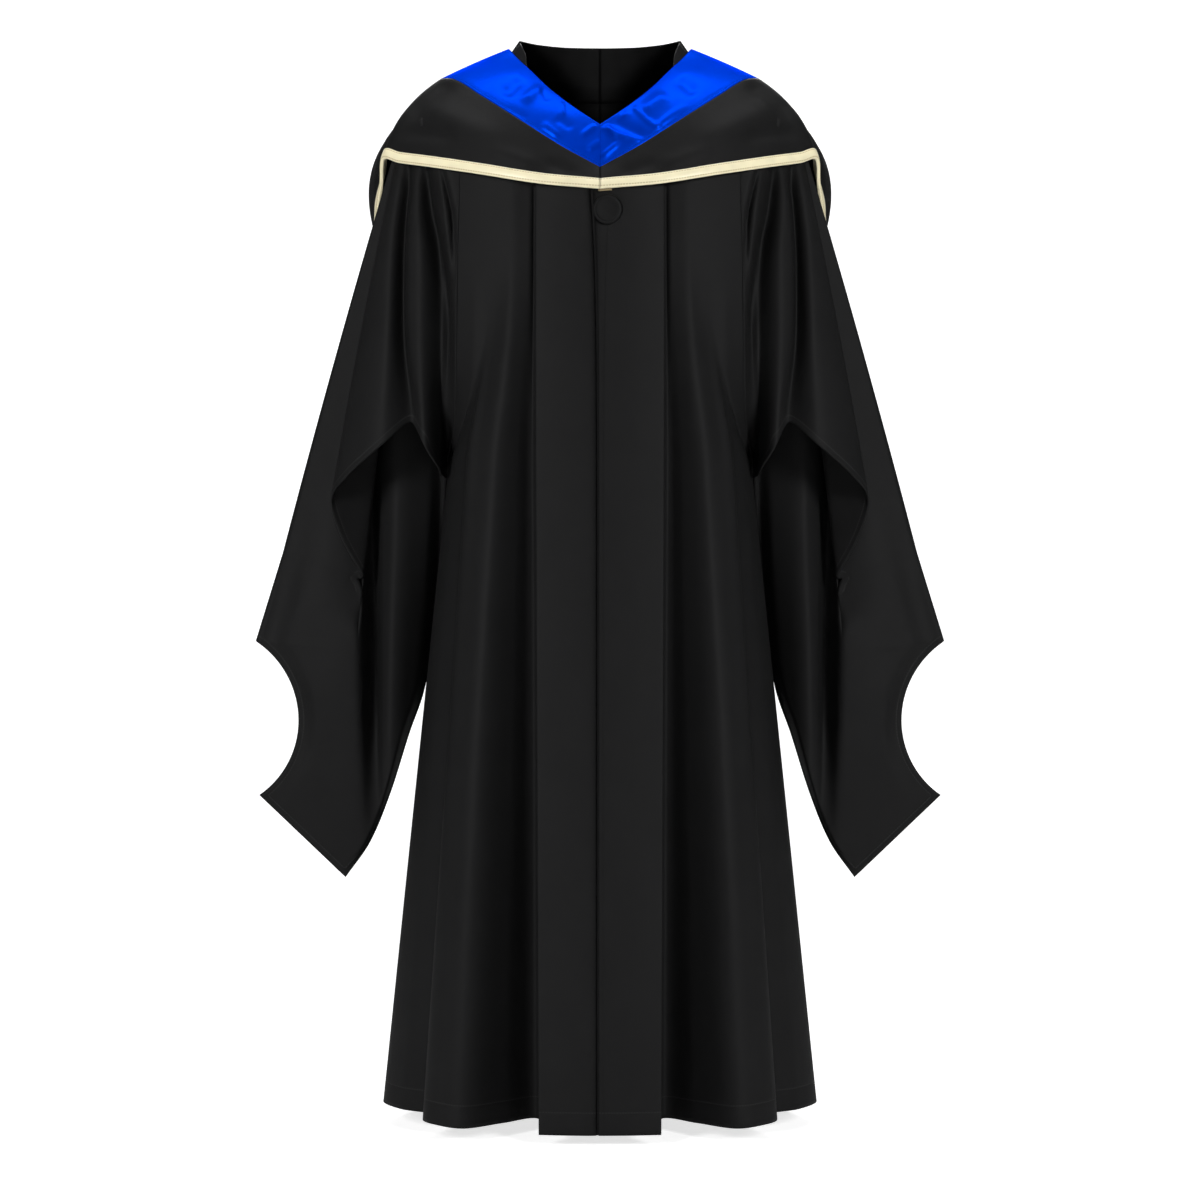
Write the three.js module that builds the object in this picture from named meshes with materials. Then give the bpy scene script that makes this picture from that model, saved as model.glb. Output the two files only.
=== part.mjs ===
// A black graduation gown with its hood, worn on nobody: it keeps the hollow shape of a wearer.
// Millimetres, +Z up, the front faces -Y. The origin is midway between the shoulders that hold it up.
// Every piece of cloth is a surface worked out from the tables below, then given a wall.
// The wearer's right half (x below 0) is made, and the other half is its mirror image.
import * as THREE from "three";

const CLOTH = 1.6; // wall of the black cloth
const SATIN = 1.6; // wall of the hood's satin band
const SEAM = 0.6; // gap left between the two halves at a centre seam
const SEWN = 1.6; // and between the edges of two panels
const LAYER = 2.8; // distance between the middles of two layers pressed together

const HEM_FRONT = -1128; // height of the hem at the centre front
const HEM_SIDE = -1119; // and at the side seam
const UNDERARM = -430; // height of the foot of the armhole
const BAND_DROP = 5.4; // how far the front bands lie below the hood
const GOWN_DROP_FRONT = 11; // how far the gown lies below the hood, beside the bands
const GOWN_DROP_RIDGE = 6; // and along the shoulder ridge
const PLEAT_DROP = 4.8; // how much further it lies down where the band's pleat covers it

// Stations round the hood, from the centre front (turn 0) over the shoulder ridge (0.5) to the centre back (1).
// neck: the gown's own neck edge. inner, outer: the two edges of the satin band. edge: the lower edge of the cape.
// Each is x, y, z. bandBow and capeBow are how far the cloth stands out between those edges.
const HOOD_STATIONS = [
  { turn: 0.0, neck: [-1, -94, -72], inner: [0, -97, -66], outer: [0, -113, -114], edge: [0, -128, -138], bandBow: 1, capeBow: 0.5 },
  { turn: 0.12, neck: [-29, -81, -52], inner: [-27, -84, -46], outer: [-42, -108, -90], edge: [-63, -123, -132], bandBow: 3, capeBow: 1.5 },
  { turn: 0.25, neck: [-57, -59, -27], inner: [-54, -62, -22], outer: [-90, -92, -57], edge: [-128, -103, -119], bandBow: 5, capeBow: 4 },
  { turn: 0.37, neck: [-76, -34, 2], inner: [-76, -38, 3], outer: [-130, -60, -27], edge: [-183, -72, -106], bandBow: 6, capeBow: 8 },
  { turn: 0.45, neck: [-82, -14, 26], inner: [-91, -15, 21], outer: [-157, -26, -5], edge: [-218, -40, -96], bandBow: 3, capeBow: 11 },
  { turn: 0.5, neck: [-88, 3, 42], inner: [-100, 3, 34], outer: [-174, 0, 1], edge: [-237, -16, -89], bandBow: 1, capeBow: 11 },
  { turn: 0.55, neck: [-87, 22, 47], inner: [-101, 22, 33], outer: [-174, 20, -2], edge: [-241, 6, -114], bandBow: 1, capeBow: 12 },
  { turn: 0.62, neck: [-83, 42, 50], inner: [-98, 44, 29], outer: [-169, 44, -10], edge: [-251, 34, -144], bandBow: 3, capeBow: 30 },
  { turn: 0.7, neck: [-69, 61, 51], inner: [-86, 66, 23], outer: [-154, 72, -28], edge: [-249, 80, -186], bandBow: 5, capeBow: 50 },
  { turn: 0.82, neck: [-42, 75, 51], inner: [-56, 85, 16], outer: [-114, 101, -68], edge: [-184, 124, -238], bandBow: 6, capeBow: 24 },
  { turn: 0.92, neck: [-19, 79, 51], inner: [-26, 92, 11], outer: [-56, 117, -104], edge: [-94, 144, -276], bandBow: 6, capeBow: 10 },
  { turn: 1.0, neck: [0, 80, 51], inner: [0, 94, 9], outer: [0, 122, -118], edge: [0, 150, -290], bandBow: 6, capeBow: 9 },
];
const RIDGE = 0.5; // the turn of the shoulder ridge
const SHOULDER_POINT = 0.78; // where the armhole crosses the ridge, as a share of the satin band's width
const SCYE_TURN = 0.305; // the turn at which the armhole comes out from under the cape, in front
const PLEAT_TURN = 0.1; // the turn of the front panel's hidden edge, behind the band
const YOKE_SEAM = -7; // height of the yoke seam at the back

// Front panel below the cape, a row for each fold line from the band to the side seam.
// share: its place along the cape's edge. arm and hem are x, y at the underarm and at the hem.
const FRONT_FOLDS = [
  { name: "behind the band", share: 0.0, arm: [-51, -116], hem: [-46, -133] },
  { name: "trough", share: 0.14, arm: [-70, -108], hem: [-70, -78] },
  { name: "rise", share: 0.26, arm: [-89, -112], hem: [-103, -112] },
  { name: "crest", share: 0.4, arm: [-112, -119], hem: [-142, -150] },
  { name: "outer slope", share: 0.56, arm: [-131, -106], hem: [-173, -136] },
  { name: "crease", share: 0.66, arm: [-141, -97], hem: [-187, -114] },
  { name: "under the crease", share: 0.74, arm: [-143, -84], hem: [-180, -84] },
  { name: "side slope", share: 0.85, arm: [-158, -54], hem: [-214, -62] },
  { name: "side crest", share: 0.94, arm: [-165, -22], hem: [-236, -20] },
  { name: "side seam", share: 1.0, arm: [-164, 8], hem: [-219, 25] },
];

// Back panel, a row for each flute line from the centre back to the side seam, with x, y at the hem.
const BACK_FOLDS = [
  { name: "centre back", share: 0.0, hem: [0, 158] },
  { name: "first flute", share: 0.12, hem: [-27, 184] },
  { name: "first trough", share: 0.22, hem: [-52, 154] },
  { name: "second flute", share: 0.34, hem: [-84, 178] },
  { name: "second trough", share: 0.45, hem: [-108, 143] },
  { name: "third flute", share: 0.57, hem: [-146, 158] },
  { name: "third trough", share: 0.69, hem: [-160, 116] },
  { name: "fourth flute", share: 0.81, hem: [-204, 106] },
  { name: "side trough", share: 0.91, hem: [-205, 62] },
  { name: "side seam", share: 1.0, hem: [-219, 28] },
];

// The armhole below the cape: x and y of its front and back edges at heights z.
const ARMHOLE = [
  { z: -5, frontX: -157, frontY: -8, backX: -157, backY: 14 },
  { z: -60, frontX: -156, frontY: -60, backX: -158, backY: 50 },
  { z: -114.7, frontX: -150, frontY: -83.3, backX: -158, backY: 63 },
  { z: -200, frontX: -151.5, frontY: -83, backX: -157, backY: 69 },
  { z: -300, frontX: -153, frontY: -78, backX: -157, backY: 66 },
  { z: -360, frontX: -155, frontY: -62, backX: -158, backY: 54 },
  { z: -402, frontX: -160, frontY: -36, backX: -160, backY: 36 },
  { z: -424, frontX: -163, frontY: -10, backX: -163, backY: 21 },
  { z: -430, frontX: -164, frontY: 8, backX: -164, backY: 12 },
];

// Upper sleeve front, a row for each fold line from the outer fold to the armhole.
// start: its place along the sleeve head. turn: where it passes under the cape's edge. sink: how far in it lies there.
// hem: x, y, z on the lip of the elbow slit. bow: how far its middle leans outwards.
const SLEEVE_FOLDS = [
  { name: "outer fold", start: 0.0, turn: 0.5, sink: 4, hem: [-349, 5, -520], bow: 2 },
  { name: "outer face", start: 0.06, turn: 0.489, sink: 9, hem: [-303, -9, -535], bow: 0 },
  { name: "slit end", start: 0.1, turn: 0.479, sink: 11, hem: [-267, -7, -548], bow: 0 },
  { name: "tuck", start: 0.13, turn: 0.472, sink: 15.5, hem: [-260, -7, -546], bow: 0 },
  { name: "tuck return", start: 0.18, turn: 0.465, sink: 13.5, hem: [-263, -14, -541], bow: 0 },
  { name: "turn", start: 0.23, turn: 0.466, sink: 8, hem: [-282, -31, -503], bow: 0 },
  { name: "flap edge", start: 0.29, turn: 0.476, sink: 2.5, hem: [-291, -46, -464], bow: 2 },
  { name: "flap face", start: 0.36, turn: 0.462, sink: 0, hem: [-272, -68, -439], bow: 2 },
  { name: "first lobe", start: 0.44, turn: 0.448, sink: 0, hem: [-234, -84, -407], bow: 3 },
  { name: "apex groove", start: 0.54, turn: 0.428, sink: 10, hem: [-203.5, -70, -384], bow: 10 },
  { name: "second lobe", start: 0.66, turn: 0.4, sink: 0, hem: [-186, -83, -411], bow: 4 },
  { name: "second groove", start: 0.78, turn: 0.37, sink: 11, hem: [-174, -62, -430], bow: 0 },
  { name: "third lobe", start: 0.9, turn: 0.338, sink: 1, hem: [-172, -38, -436], bow: 0 },
  { name: "armhole", start: 1.0, turn: 0.305, sink: 0, hem: [-169, 4, -438], bow: 0 },
];
const SLIT_END = 2; // the fold line at which the elbow slit ends

// Lower sleeve front, a row for each fold line from the outer fold to the inner edge, below the slit.
// lip: x, y, z on the lower lip of the slit. mid, foot: its place across the sleeve halfway down and at the foot.
// line: x of the fold at z -400 and at z -840. depth: its y at z -420, -620 and -820.
const LOWER_FOLDS = [
  { name: "outer fold", lip: [-349, 5, -520], mid: 0, foot: 0, line: [-312, -448], depth: [4, 4, 4] },
  { name: "outer face", lip: [-303, -9, -535], mid: 0.3, foot: 0.3, line: [-296, -330], depth: [-8, -9, -5] },
  { name: "slit end", lip: [-267, -7, -548], mid: 0.56, foot: 0.52, line: [-270, -272], depth: [-8, -15, -9] },
  { name: "bank", lip: [-260, -4, -551], mid: 0.59, foot: 0.57, line: [-263, -261], depth: [-2, -10, -6] },
  { name: "trench", lip: [-256, 18, -412], mid: 0.635, foot: 0.61, line: [-257, -252], depth: [18, 16, 7] },
  { name: "trench floor", lip: [-249, 21, -400], mid: 0.68, foot: 0.68, line: [-249, -244], depth: [21, 19, 9] },
  { name: "trench wall", lip: [-239, 4, -388], mid: 0.745, foot: 0.76, line: [-239, -238], depth: [4, -2, 2] },
  { name: "crest", lip: [-221, -13, -366], mid: 0.82, foot: 0.84, line: [-221, -231], depth: [-13, -11, -2] },
  { name: "inner slope", lip: [-192, 0, -372], mid: 0.92, foot: 0.93, line: [-192, -222], depth: [0, 9, 6] },
  { name: "inner edge", lip: [-169.5, 11, -437], mid: 1, foot: 1, line: [-162, -206], depth: [10, 34, 22] },
];
const LOWER_MID = 0.42; // where the mid values hold, as a share of the way from the slit to the foot
const FOOT_Y = 3; // depth of the sleeve's foot, where its two layers lie together

// The outline of the hanging sleeve: a crescent is cut from its outer edge, between two corners.
const CRESCENT_TOP = [-379, 5, -617];
const CRESCENT_FOOT = [-375, FOOT_Y, -786.5];
const CRESCENT_DEPTH = 45; // how far the crescent reaches in
const CRESCENT_START = 0.36; // share of the way down at which it starts
const INNER_EDGE = [
  { way: 0.0, x: -168, y: 12, z: -437 },
  { way: 0.14, x: -174, y: 28, z: -520 },
  { way: 0.3, x: -183, y: 38, z: -600 },
  { way: 0.46, x: -196, y: 38, z: -672 },
  { way: 0.58, x: -212, y: 32, z: -719 },
  { way: 0.76, x: -233, y: 20, z: -787 },
  { way: 0.9, x: -254, y: 10, z: -839 },
  { way: 1.0, x: -280, y: FOOT_Y, z: -877 },
];

const BAND_HALF_TOP = 68; // half width of the two front bands together, under the cape
const BAND_HALF_HEM = 63; // and at the hem
const BAND_Y_HEM = -165; // depth of the bands' front face at the hem
const BAND_CROWN = 4; // how much further back their outer edges lie
const OVERLAP_TOP = 8; // how far the top band crosses the centre line, under the button
const OVERLAP_HEM = 1.5; // and at the hem
const UNDERLAP = 10; // how far the lower band crosses it the other way, hidden
const RETURN_TOP = 14; // width of the pleat turned under each band's outer edge, at the top
const RETURN_HEM = 20; // and at the hem
const RETURN_DEPTH_HEM = 24; // how far back that pleat reaches at the hem

const RIBBON_WIDTH = 12; // of the cream binding, outside
const RIBBON_UNDER = 15; // and inside
const RIBBON_WALL = 1;
const BUTTON_RADIUS = 15.8;
const BUTTON_HEIGHT = 6;
const BUTTON_X = 8.5;
const BUTTON_Z = -158;
const LOOP_SIDES = [-2, 12]; // x of the two sides of the hood's button loop
const LOOP_DROP = 3.6; // how far it lies below the hood's surface
const LOOP_ENDS = [1.65, 2.09]; // it hangs from under the cape to just below the ribbon

const BLACK = new THREE.MeshStandardMaterial({ color: 0x1b1b1c, roughness: 0.82, metalness: 0 });
const BLUE = new THREE.MeshStandardMaterial({ color: 0x0046e0, roughness: 0.36, metalness: 0 });
const CREAM = new THREE.MeshStandardMaterial({ color: 0xf4e8c2, roughness: 0.34, metalness: 0 });
const TAN = new THREE.MeshStandardMaterial({ color: 0x8a7a55, roughness: 0.7, metalness: 0 });

const point = (x, y, z) => new THREE.Vector3(x, y, z);
const mix = THREE.MathUtils.lerp;
const ease = THREE.MathUtils.smoothstep;
const clamp01 = (value) => THREE.MathUtils.clamp(value, 0, 1);

// A smooth curve through the rows of a table: the value of read(row) at the place where key(row) is at.
// Each span is a cubic whose end slopes are those of the chord between the neighbours.
function through(rows, key, read, at) {
  const rising = key(rows[rows.length - 1]) > key(rows[0]) ? 1 : -1;
  let i = 0;
  while (i < rows.length - 2 && rising * (at - key(rows[i + 1])) > 0) i++;
  const slope = (a, b) => (read(rows[b]) - read(rows[a])) / (key(rows[b]) - key(rows[a]));
  const span = key(rows[i + 1]) - key(rows[i]);
  const first = i === 0 ? slope(0, 1) : slope(i - 1, i + 1);
  const last = i === rows.length - 2 ? slope(i, i + 1) : slope(i, i + 2);
  const u = (at - key(rows[i])) / span;
  if (u < 0) return read(rows[i]) + first * span * u;
  if (u > 1) return read(rows[i + 1]) + last * span * (u - 1);
  const v = u * u;
  const w = v * u;
  return (
    (2 * w - 3 * v + 1) * read(rows[i]) +
    (w - 2 * v + u) * span * first +
    (3 * v - 2 * w) * read(rows[i + 1]) +
    (w - v) * span * last
  );
}

// A point of a line that runs round the hood, such as its satin band's inner edge.
function hoodLine(column, turn) {
  const side = turn < 0 ? -1 : 1;
  const axis = (n) => through(HOOD_STATIONS, (row) => row.turn, (row) => row[column][n], Math.abs(turn));
  return point(side * axis(0), axis(1), axis(2));
}

// The hood's own surface: across 0 to 1 is the satin band, 1 to 2 the cape, and past 2 straight on.
// Between two edges the cloth bows out at right angles to the chord, most in the middle.
function hoodSurface(turn, across) {
  const onCape = across > 1;
  const from = hoodLine(onCape ? "outer" : "inner", turn);
  const to = hoodLine(onCape ? "edge" : "outer", turn);
  const bow = through(
    HOOD_STATIONS,
    (row) => row.turn,
    (row) => (onCape ? row.capeBow : row.bandBow),
    Math.abs(turn),
  );
  const share = onCape ? across - 1 : across;
  const radial = point(from.x + to.x, from.y + to.y, 0).normalize();
  const run = to.clone().sub(from);
  const out = radial
    .clone()
    .multiplyScalar(-run.z)
    .add(point(0, 0, run.dot(radial)))
    .normalize();
  return from.addScaledVector(run, share).addScaledVector(out, 4 * bow * share * (1 - share));
}

// The hood's surface moved in by drop, at right angles to it.
function underHood(turn, across, drop) {
  const step = 0.01;
  const low = Math.min(Math.max(across, 0.02), 1.96);
  const here = hoodSurface(turn, low);
  const along = hoodSurface(turn + step, low).sub(here);
  const down = hoodSurface(turn, low + step).sub(here);
  const out = along.cross(down).normalize();
  return hoodSurface(turn, across).addScaledVector(out, -drop);
}

// The gown below the hood. Past across 0 it rises to its own neck edge at -1.
// In front that edge stays just under the satin band; over the shoulders and at the back it stands free.
function gownSurface(turn, across) {
  const frontShare = 1 - ease(Math.abs(turn), 0.12, 0.46);
  const pleat = PLEAT_DROP * (1 - ease(Math.abs(turn), 0.14, 0.19));
  const drop = mix(GOWN_DROP_RIDGE, GOWN_DROP_FRONT, frontShare) + pleat;
  if (across >= 0) return underHood(turn, across, drop);
  const hidden = underHood(turn, 0.06 * across, drop);
  const free = underHood(turn, 0, drop).lerp(hoodLine("neck", turn), -across);
  return hidden.lerp(free, ease(Math.abs(turn), 0.3, 0.45));
}

// A point of the armhole's front or back edge at height z.
function armhole(side, z) {
  const read = (column) => through(ARMHOLE, (row) => row.z, (row) => row[side + column], z);
  return point(read("X"), read("Y"), z);
}

// One smooth curve through a row's fold-line points, sampled subdivisions times a span.
function acrossFolds(points, subdivisions) {
  const rows = points.map((p, i) => ({ i, p }));
  const total = (points.length - 1) * subdivisions;
  return Array.from({ length: total + 1 }, (_, k) => {
    const axis = (n) => through(rows, (row) => row.i, (row) => row.p.getComponent(n), k / subdivisions);
    return point(axis(0), axis(1), axis(2));
  });
}

// Rows of points become a sheet: its points, and the quads between neighbouring rows.
function sheet(rows) {
  const columns = rows[0].length;
  const quads = [];
  for (let i = 0; i < rows.length - 1; i++)
    for (let j = 0; j < columns - 1; j++) {
      const corner = i * columns + j;
      quads.push([corner, corner + 1, corner + columns + 1, corner + columns]);
    }
  return { points: rows.flat(), quads };
}

// Turns a closed mesh's faces outwards and returns its geometry.
function closed(points, triangles) {
  let volume = 0;
  for (const [a, b, c] of triangles) volume += points[a].dot(points[b].clone().cross(points[c]));
  const faces = volume < 0 ? triangles.map(([a, b, c]) => [a, c, b]) : triangles;
  const geometry = new THREE.BufferGeometry().setFromPoints(points);
  geometry.setIndex(faces.flat());
  return geometry;
}

// Gives a sheet its wall: the sheet moved half the wall out and half in, joined along its border.
// Nothing of it comes nearer to the centre plane than the seam there, unless it may cross it.
function wall({ points, quads }, thickness, crossing = false) {
  const skin = new THREE.BufferGeometry().setFromPoints(points);
  skin.setIndex(quads.flatMap(([a, b, c, d]) => [a, b, c, a, c, d]));
  skin.computeVertexNormals();
  const normals = skin.getAttribute("normal");
  const shifted = (distance) =>
    points.map((p, i) => {
      const normal = point(normals.getX(i), normals.getY(i), normals.getZ(i));
      const moved = p.clone().addScaledVector(normal, distance);
      if (!crossing) moved.x = Math.min(moved.x, -SEAM / 2);
      return moved;
    });
  const count = points.length;
  const triangles = [];
  const open = new Map();
  for (const quad of quads) {
    const [a, b, c, d] = quad;
    triangles.push([a, b, c], [a, c, d]);
    triangles.push([a + count, c + count, b + count], [a + count, d + count, c + count]);
    quad.forEach((from, k) => {
      const to = quad[(k + 1) % 4];
      if (!open.delete(to + ">" + from)) open.set(from + ">" + to, [from, to]);
    });
  }
  for (const [from, to] of open.values()) {
    triangles.push([from, from + count, to + count], [from, to + count, to]);
  }
  return closed([...shifted(thickness / 2), ...shifted(-thickness / 2)], triangles);
}

// The faces between rings of as many points each, set one after another.
function ringsJoined(rings) {
  const size = rings[0].length;
  const triangles = [];
  for (let i = 0; i < rings.length - 1; i++)
    for (let j = 0; j < size; j++) {
      const a = i * size + j;
      const b = i * size + ((j + 1) % size);
      triangles.push([a, b, b + size], [a, b + size, a + size]);
    }
  return triangles;
}

const steps = (count) => Array.from({ length: count + 1 }, (_, i) => i / count);

// The armhole's upper part, where it runs over the shoulder under the hood: way 0 is the ridge, 1 the cape's edge.
function sleeveHead(way) {
  return { turn: mix(RIDGE, SCYE_TURN, way), across: mix(SHOULDER_POINT, 1.93, way) };
}

// Front panel under the hood: rows run from the neck edge, or the band, to the shoulder ridge, or the armhole.
function frontTopRows() {
  const inner = [
    { turn: RIDGE - 0.006, across: -1 },
    { turn: 0.43, across: -1 },
    { turn: 0.36, across: -0.4 },
    { turn: 0.28, across: 0.03 },
    { turn: 0.19, across: 0.03 },
    { turn: PLEAT_TURN, across: 0.03 },
    { turn: PLEAT_TURN, across: 0.6 },
    { turn: PLEAT_TURN, across: 1.3 },
    { turn: PLEAT_TURN, across: 1.93 },
  ];
  return inner.map((from, i) => {
    const to = sleeveHead(i / (inner.length - 1));
    return FRONT_FOLDS.map(({ share }) => {
      const turn = Math.min(mix(from.turn, to.turn, share), RIDGE - 0.006);
      return gownSurface(turn, mix(from.across, to.across, share));
    });
  });
}

// Front panel below the cape, down from the cape's edge (level 0) to the hem (1).
// Near the cape the panel keeps the chest's shape and its outer edge follows the armhole.
// From the underarm down, each fold line is straight.
function frontPoint(fold, level) {
  const top = gownSurface(mix(PLEAT_TURN, SCYE_TURN, fold.share), 2);
  const topSeam = gownSurface(SCYE_TURN, 2);
  const hemZ = mix(HEM_FRONT, HEM_SIDE, fold.share);
  const z = mix(top.z, hemZ, level);
  const seam = armhole("front", Math.max(z, UNDERARM));
  const nearSeam = fold.share ** 4;
  const free = mix(-top.z, -UNDERARM, fold.share ** 2);
  const moved = top.clone().add(point(seam.x - topSeam.x, seam.y - topSeam.y, 0).multiplyScalar(nearSeam));
  const low = (UNDERARM - z) / (UNDERARM - hemZ);
  const hanging = point(mix(fold.arm[0], fold.hem[0], low), mix(fold.arm[1], fold.hem[1], low), z);
  const weight = z <= UNDERARM ? 1 : ease(-z, free, 1 - UNDERARM);
  return point(mix(moved.x, hanging.x, weight), mix(moved.y, hanging.y, weight), z);
}
const FRONT_LEVELS = [0, 0.07, 0.14, 0.2, 0.245, 0.275, 0.298, 0.314, 0.42, 0.56, 0.7, 0.85, 1];

function frontPanel() {
  const rows = [
    ...frontTopRows(),
    ...FRONT_LEVELS.map((level) => FRONT_FOLDS.map((fold) => frontPoint(fold, level))),
  ];
  return wall(sheet(rows.map((row) => acrossFolds(row, 2))), CLOTH);
}

// The yoke, from the shoulder ridge and the neck edge down to the yoke seam at the back.
function yokeFoot(turn) {
  const inner = hoodLine("inner", turn);
  const outer = hoodLine("outer", turn);
  return Math.min(SHOULDER_POINT, (inner.z - YOKE_SEAM) / (inner.z - outer.z));
}
function yoke() {
  const turns = steps(16).map((s) => mix(RIDGE + 0.006, 1, s));
  const rows = [0, 0.25, 0.5, 0.75, 1].map((down) =>
    turns.map((turn) => gownSurface(turn, mix(-1, yokeFoot(turn), down))),
  );
  return wall(sheet(rows), CLOTH);
}

// Back panel: hangs from the yoke seam. Each flute line is straight from there to the hem, and its outer edge
// follows the armhole as far as the underarm.
function backPoint(fold, level) {
  const turn = mix(1, RIDGE + 0.02, fold.share);
  const top = gownSurface(turn, yokeFoot(turn));
  top.z -= SEWN;
  const hemZ = mix(HEM_FRONT, HEM_SIDE, fold.share);
  const z = mix(top.z, hemZ, level);
  const low = clamp01((UNDERARM - z) / (UNDERARM - hemZ));
  const seam = armhole("back", Math.max(z, UNDERARM));
  const side = point(mix(seam.x, -219, low), mix(seam.y, 28, low), z);
  const topSide = gownSurface(RIDGE + 0.02, SHOULDER_POINT);
  const down = (top.z - z) / (top.z - hemZ);
  const straight = point(mix(top.x, fold.hem[0], down), mix(top.y, fold.hem[1], down), z);
  const sideStraight = point(mix(topSide.x, -219, down), mix(topSide.y, 28, down), z);
  return straight.addScaledVector(side.sub(sideStraight), fold.share ** 3);
}
const BACK_LEVELS = [0, 0.05, 0.12, 0.2, 0.27, 0.32, 0.355, 0.378, 0.5, 0.62, 0.75, 0.88, 1];

function backPanel() {
  const rows = BACK_LEVELS.map((level) => BACK_FOLDS.map((fold) => backPoint(fold, level)));
  return wall(sheet(rows.map((row) => acrossFolds(row, 2))), CLOTH);
}

// The sleeve's outer edge below the slit: straight to the first corner, then round the crescent's arc.
function outerEdge(way) {
  const start = point(...SLEEVE_FOLDS[0].hem);
  const top = point(...CRESCENT_TOP);
  if (way <= CRESCENT_START) return start.lerp(top, way / CRESCENT_START);
  const foot = point(...CRESCENT_FOOT);
  const half = top.distanceTo(foot) / 2;
  const radius = (half * half + CRESCENT_DEPTH * CRESCENT_DEPTH) / (2 * CRESCENT_DEPTH);
  const reach = Math.asin(half / radius);
  const angle = mix(-reach, reach, (way - CRESCENT_START) / (1 - CRESCENT_START));
  const middle = top.clone().lerp(foot, 0.5 + Math.sin(angle) / (2 * Math.sin(reach)));
  return middle.add(point(radius * (Math.cos(angle) - Math.cos(reach)), 0, 0));
}

function innerEdge(way) {
  const read = (column) => through(INNER_EDGE, (row) => row.way, (row) => row[column], way);
  return point(read("x"), read("y"), read("z"));
}

// Upper sleeve front: from the sleeve head, under the cape, then straight to the lip of the slit.
function sleeveHeadPoint(fold, way) {
  const from = sleeveHead(fold.start);
  const startTurn = from.turn + 0.005 * fold.start;
  const startAcross = from.across + 0.025 * (1 - fold.start);
  const p = gownSurface(mix(startTurn, fold.turn, way), mix(startAcross, 2, way));
  return p.addScaledVector(point(-p.x, -p.y, 0).normalize(), fold.sink * way);
}
function sleeveUpperPoint(fold, way) {
  const to = point(...fold.hem);
  const p = sleeveHeadPoint(fold, 1).lerp(to, way);
  p.x -= 4 * fold.bow * way * (1 - way);
  const seam = armhole("front", Math.max(p.z, UNDERARM));
  const nearSeam = ease(fold.start, 0.7, 1);
  p.y = mix(p.y, seam.y, nearSeam * (nearSeam < 1 ? 1 - ease(way, 0.75, 1) : 1));
  if (nearSeam === 1) p.x = mix(seam.x - SEWN, to.x, ease(way, 0.85, 1));
  return p;
}

// The depth of the lower sleeve's front at a place seen from the front, read across its fold lines.
function lowerDepth(x, z) {
  const heights = [-420, -620, -820];
  const lines = LOWER_FOLDS.map(({ line, depth }) => ({
    x: mix(line[0], line[1], (-400 - z) / 440),
    y: through(heights.map((height, i) => ({ height, y: depth[i] })), (row) => row.height, (row) => row.y, z),
  }));
  const inside = THREE.MathUtils.clamp(x, lines[0].x, lines[lines.length - 1].x);
  return through(lines, (row) => row.x, (row) => row.y, inside);
}

// Lower sleeve front: rows run from the outer edge to the inner edge. Near the slit they rise to the lower lip.
// Towards the foot the folds fade, and the edges lie on the sleeve's outline.
function lowerAcross(fold, way) {
  const outer = outerEdge(0);
  const inner = innerEdge(0);
  const lip = (fold.lip[0] - outer.x) / (inner.x - outer.x);
  return way < LOWER_MID
    ? mix(lip, fold.mid, ease(way, 0, LOWER_MID))
    : mix(fold.mid, fold.foot, ease(way, LOWER_MID, 1));
}
function lowerPoint(fold, way) {
  const p = outerEdge(way).lerp(innerEdge(way), lowerAcross(fold, way));
  const start = outerEdge(0).lerp(innerEdge(0), lowerAcross(fold, 0));
  p.z += (fold.lip[2] - start.z) * (1 - ease(way, 0, LOWER_MID));
  const isEdge = fold.mid === 0 || fold.mid === 1;
  if (!isEdge) {
    const fromLip = 1 - ease(way, 0, 0.3);
    p.y = mix(mix(lowerDepth(p.x, p.z), fold.lip[1], fromLip), FOOT_Y, ease(way, 0.5, 1));
  }
  p.y -= LAYER / 2;
  return p;
}
const HEAD_WAYS = [0, 0.35, 0.7];
const UPPER_WAYS = [0, 0.09, 0.2, 0.33, 0.47, 0.61, 0.75, 0.88, 1];
const LOWER_WAYS = [0.07, 0.16, 0.26, 0.36, 0.46, 0.55, 0.64, 0.73, 0.82, 0.91, 1];

function sleeveFront() {
  const perSpan = 2;
  const upper = [
    ...HEAD_WAYS.map((way) => SLEEVE_FOLDS.map((fold) => sleeveHeadPoint(fold, way))),
    ...UPPER_WAYS.map((way) => SLEEVE_FOLDS.map((fold) => sleeveUpperPoint(fold, way))),
  ].map((row) => acrossFolds(row, perSpan));
  const made = sheet(upper);
  const shared = SLIT_END * perSpan;
  const lastRow = made.points.length - upper[0].length;
  const lip = acrossFolds(LOWER_FOLDS.map((fold) => point(...fold.lip)), perSpan);
  const lower = LOWER_WAYS.map((way) => acrossFolds(LOWER_FOLDS.map((fold) => lowerPoint(fold, way)), perSpan));
  const rowIndex = [lip.map((p, j) => (j <= shared ? lastRow + j : made.points.push(p) - 1))];
  for (const row of lower) rowIndex.push(row.map((p) => made.points.push(p) - 1));
  for (let i = 0; i < rowIndex.length - 1; i++)
    for (let j = 0; j < lip.length - 1; j++)
      made.quads.push([rowIndex[i][j], rowIndex[i][j + 1], rowIndex[i + 1][j + 1], rowIndex[i + 1][j]]);
  return wall(made, CLOTH);
}

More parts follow.
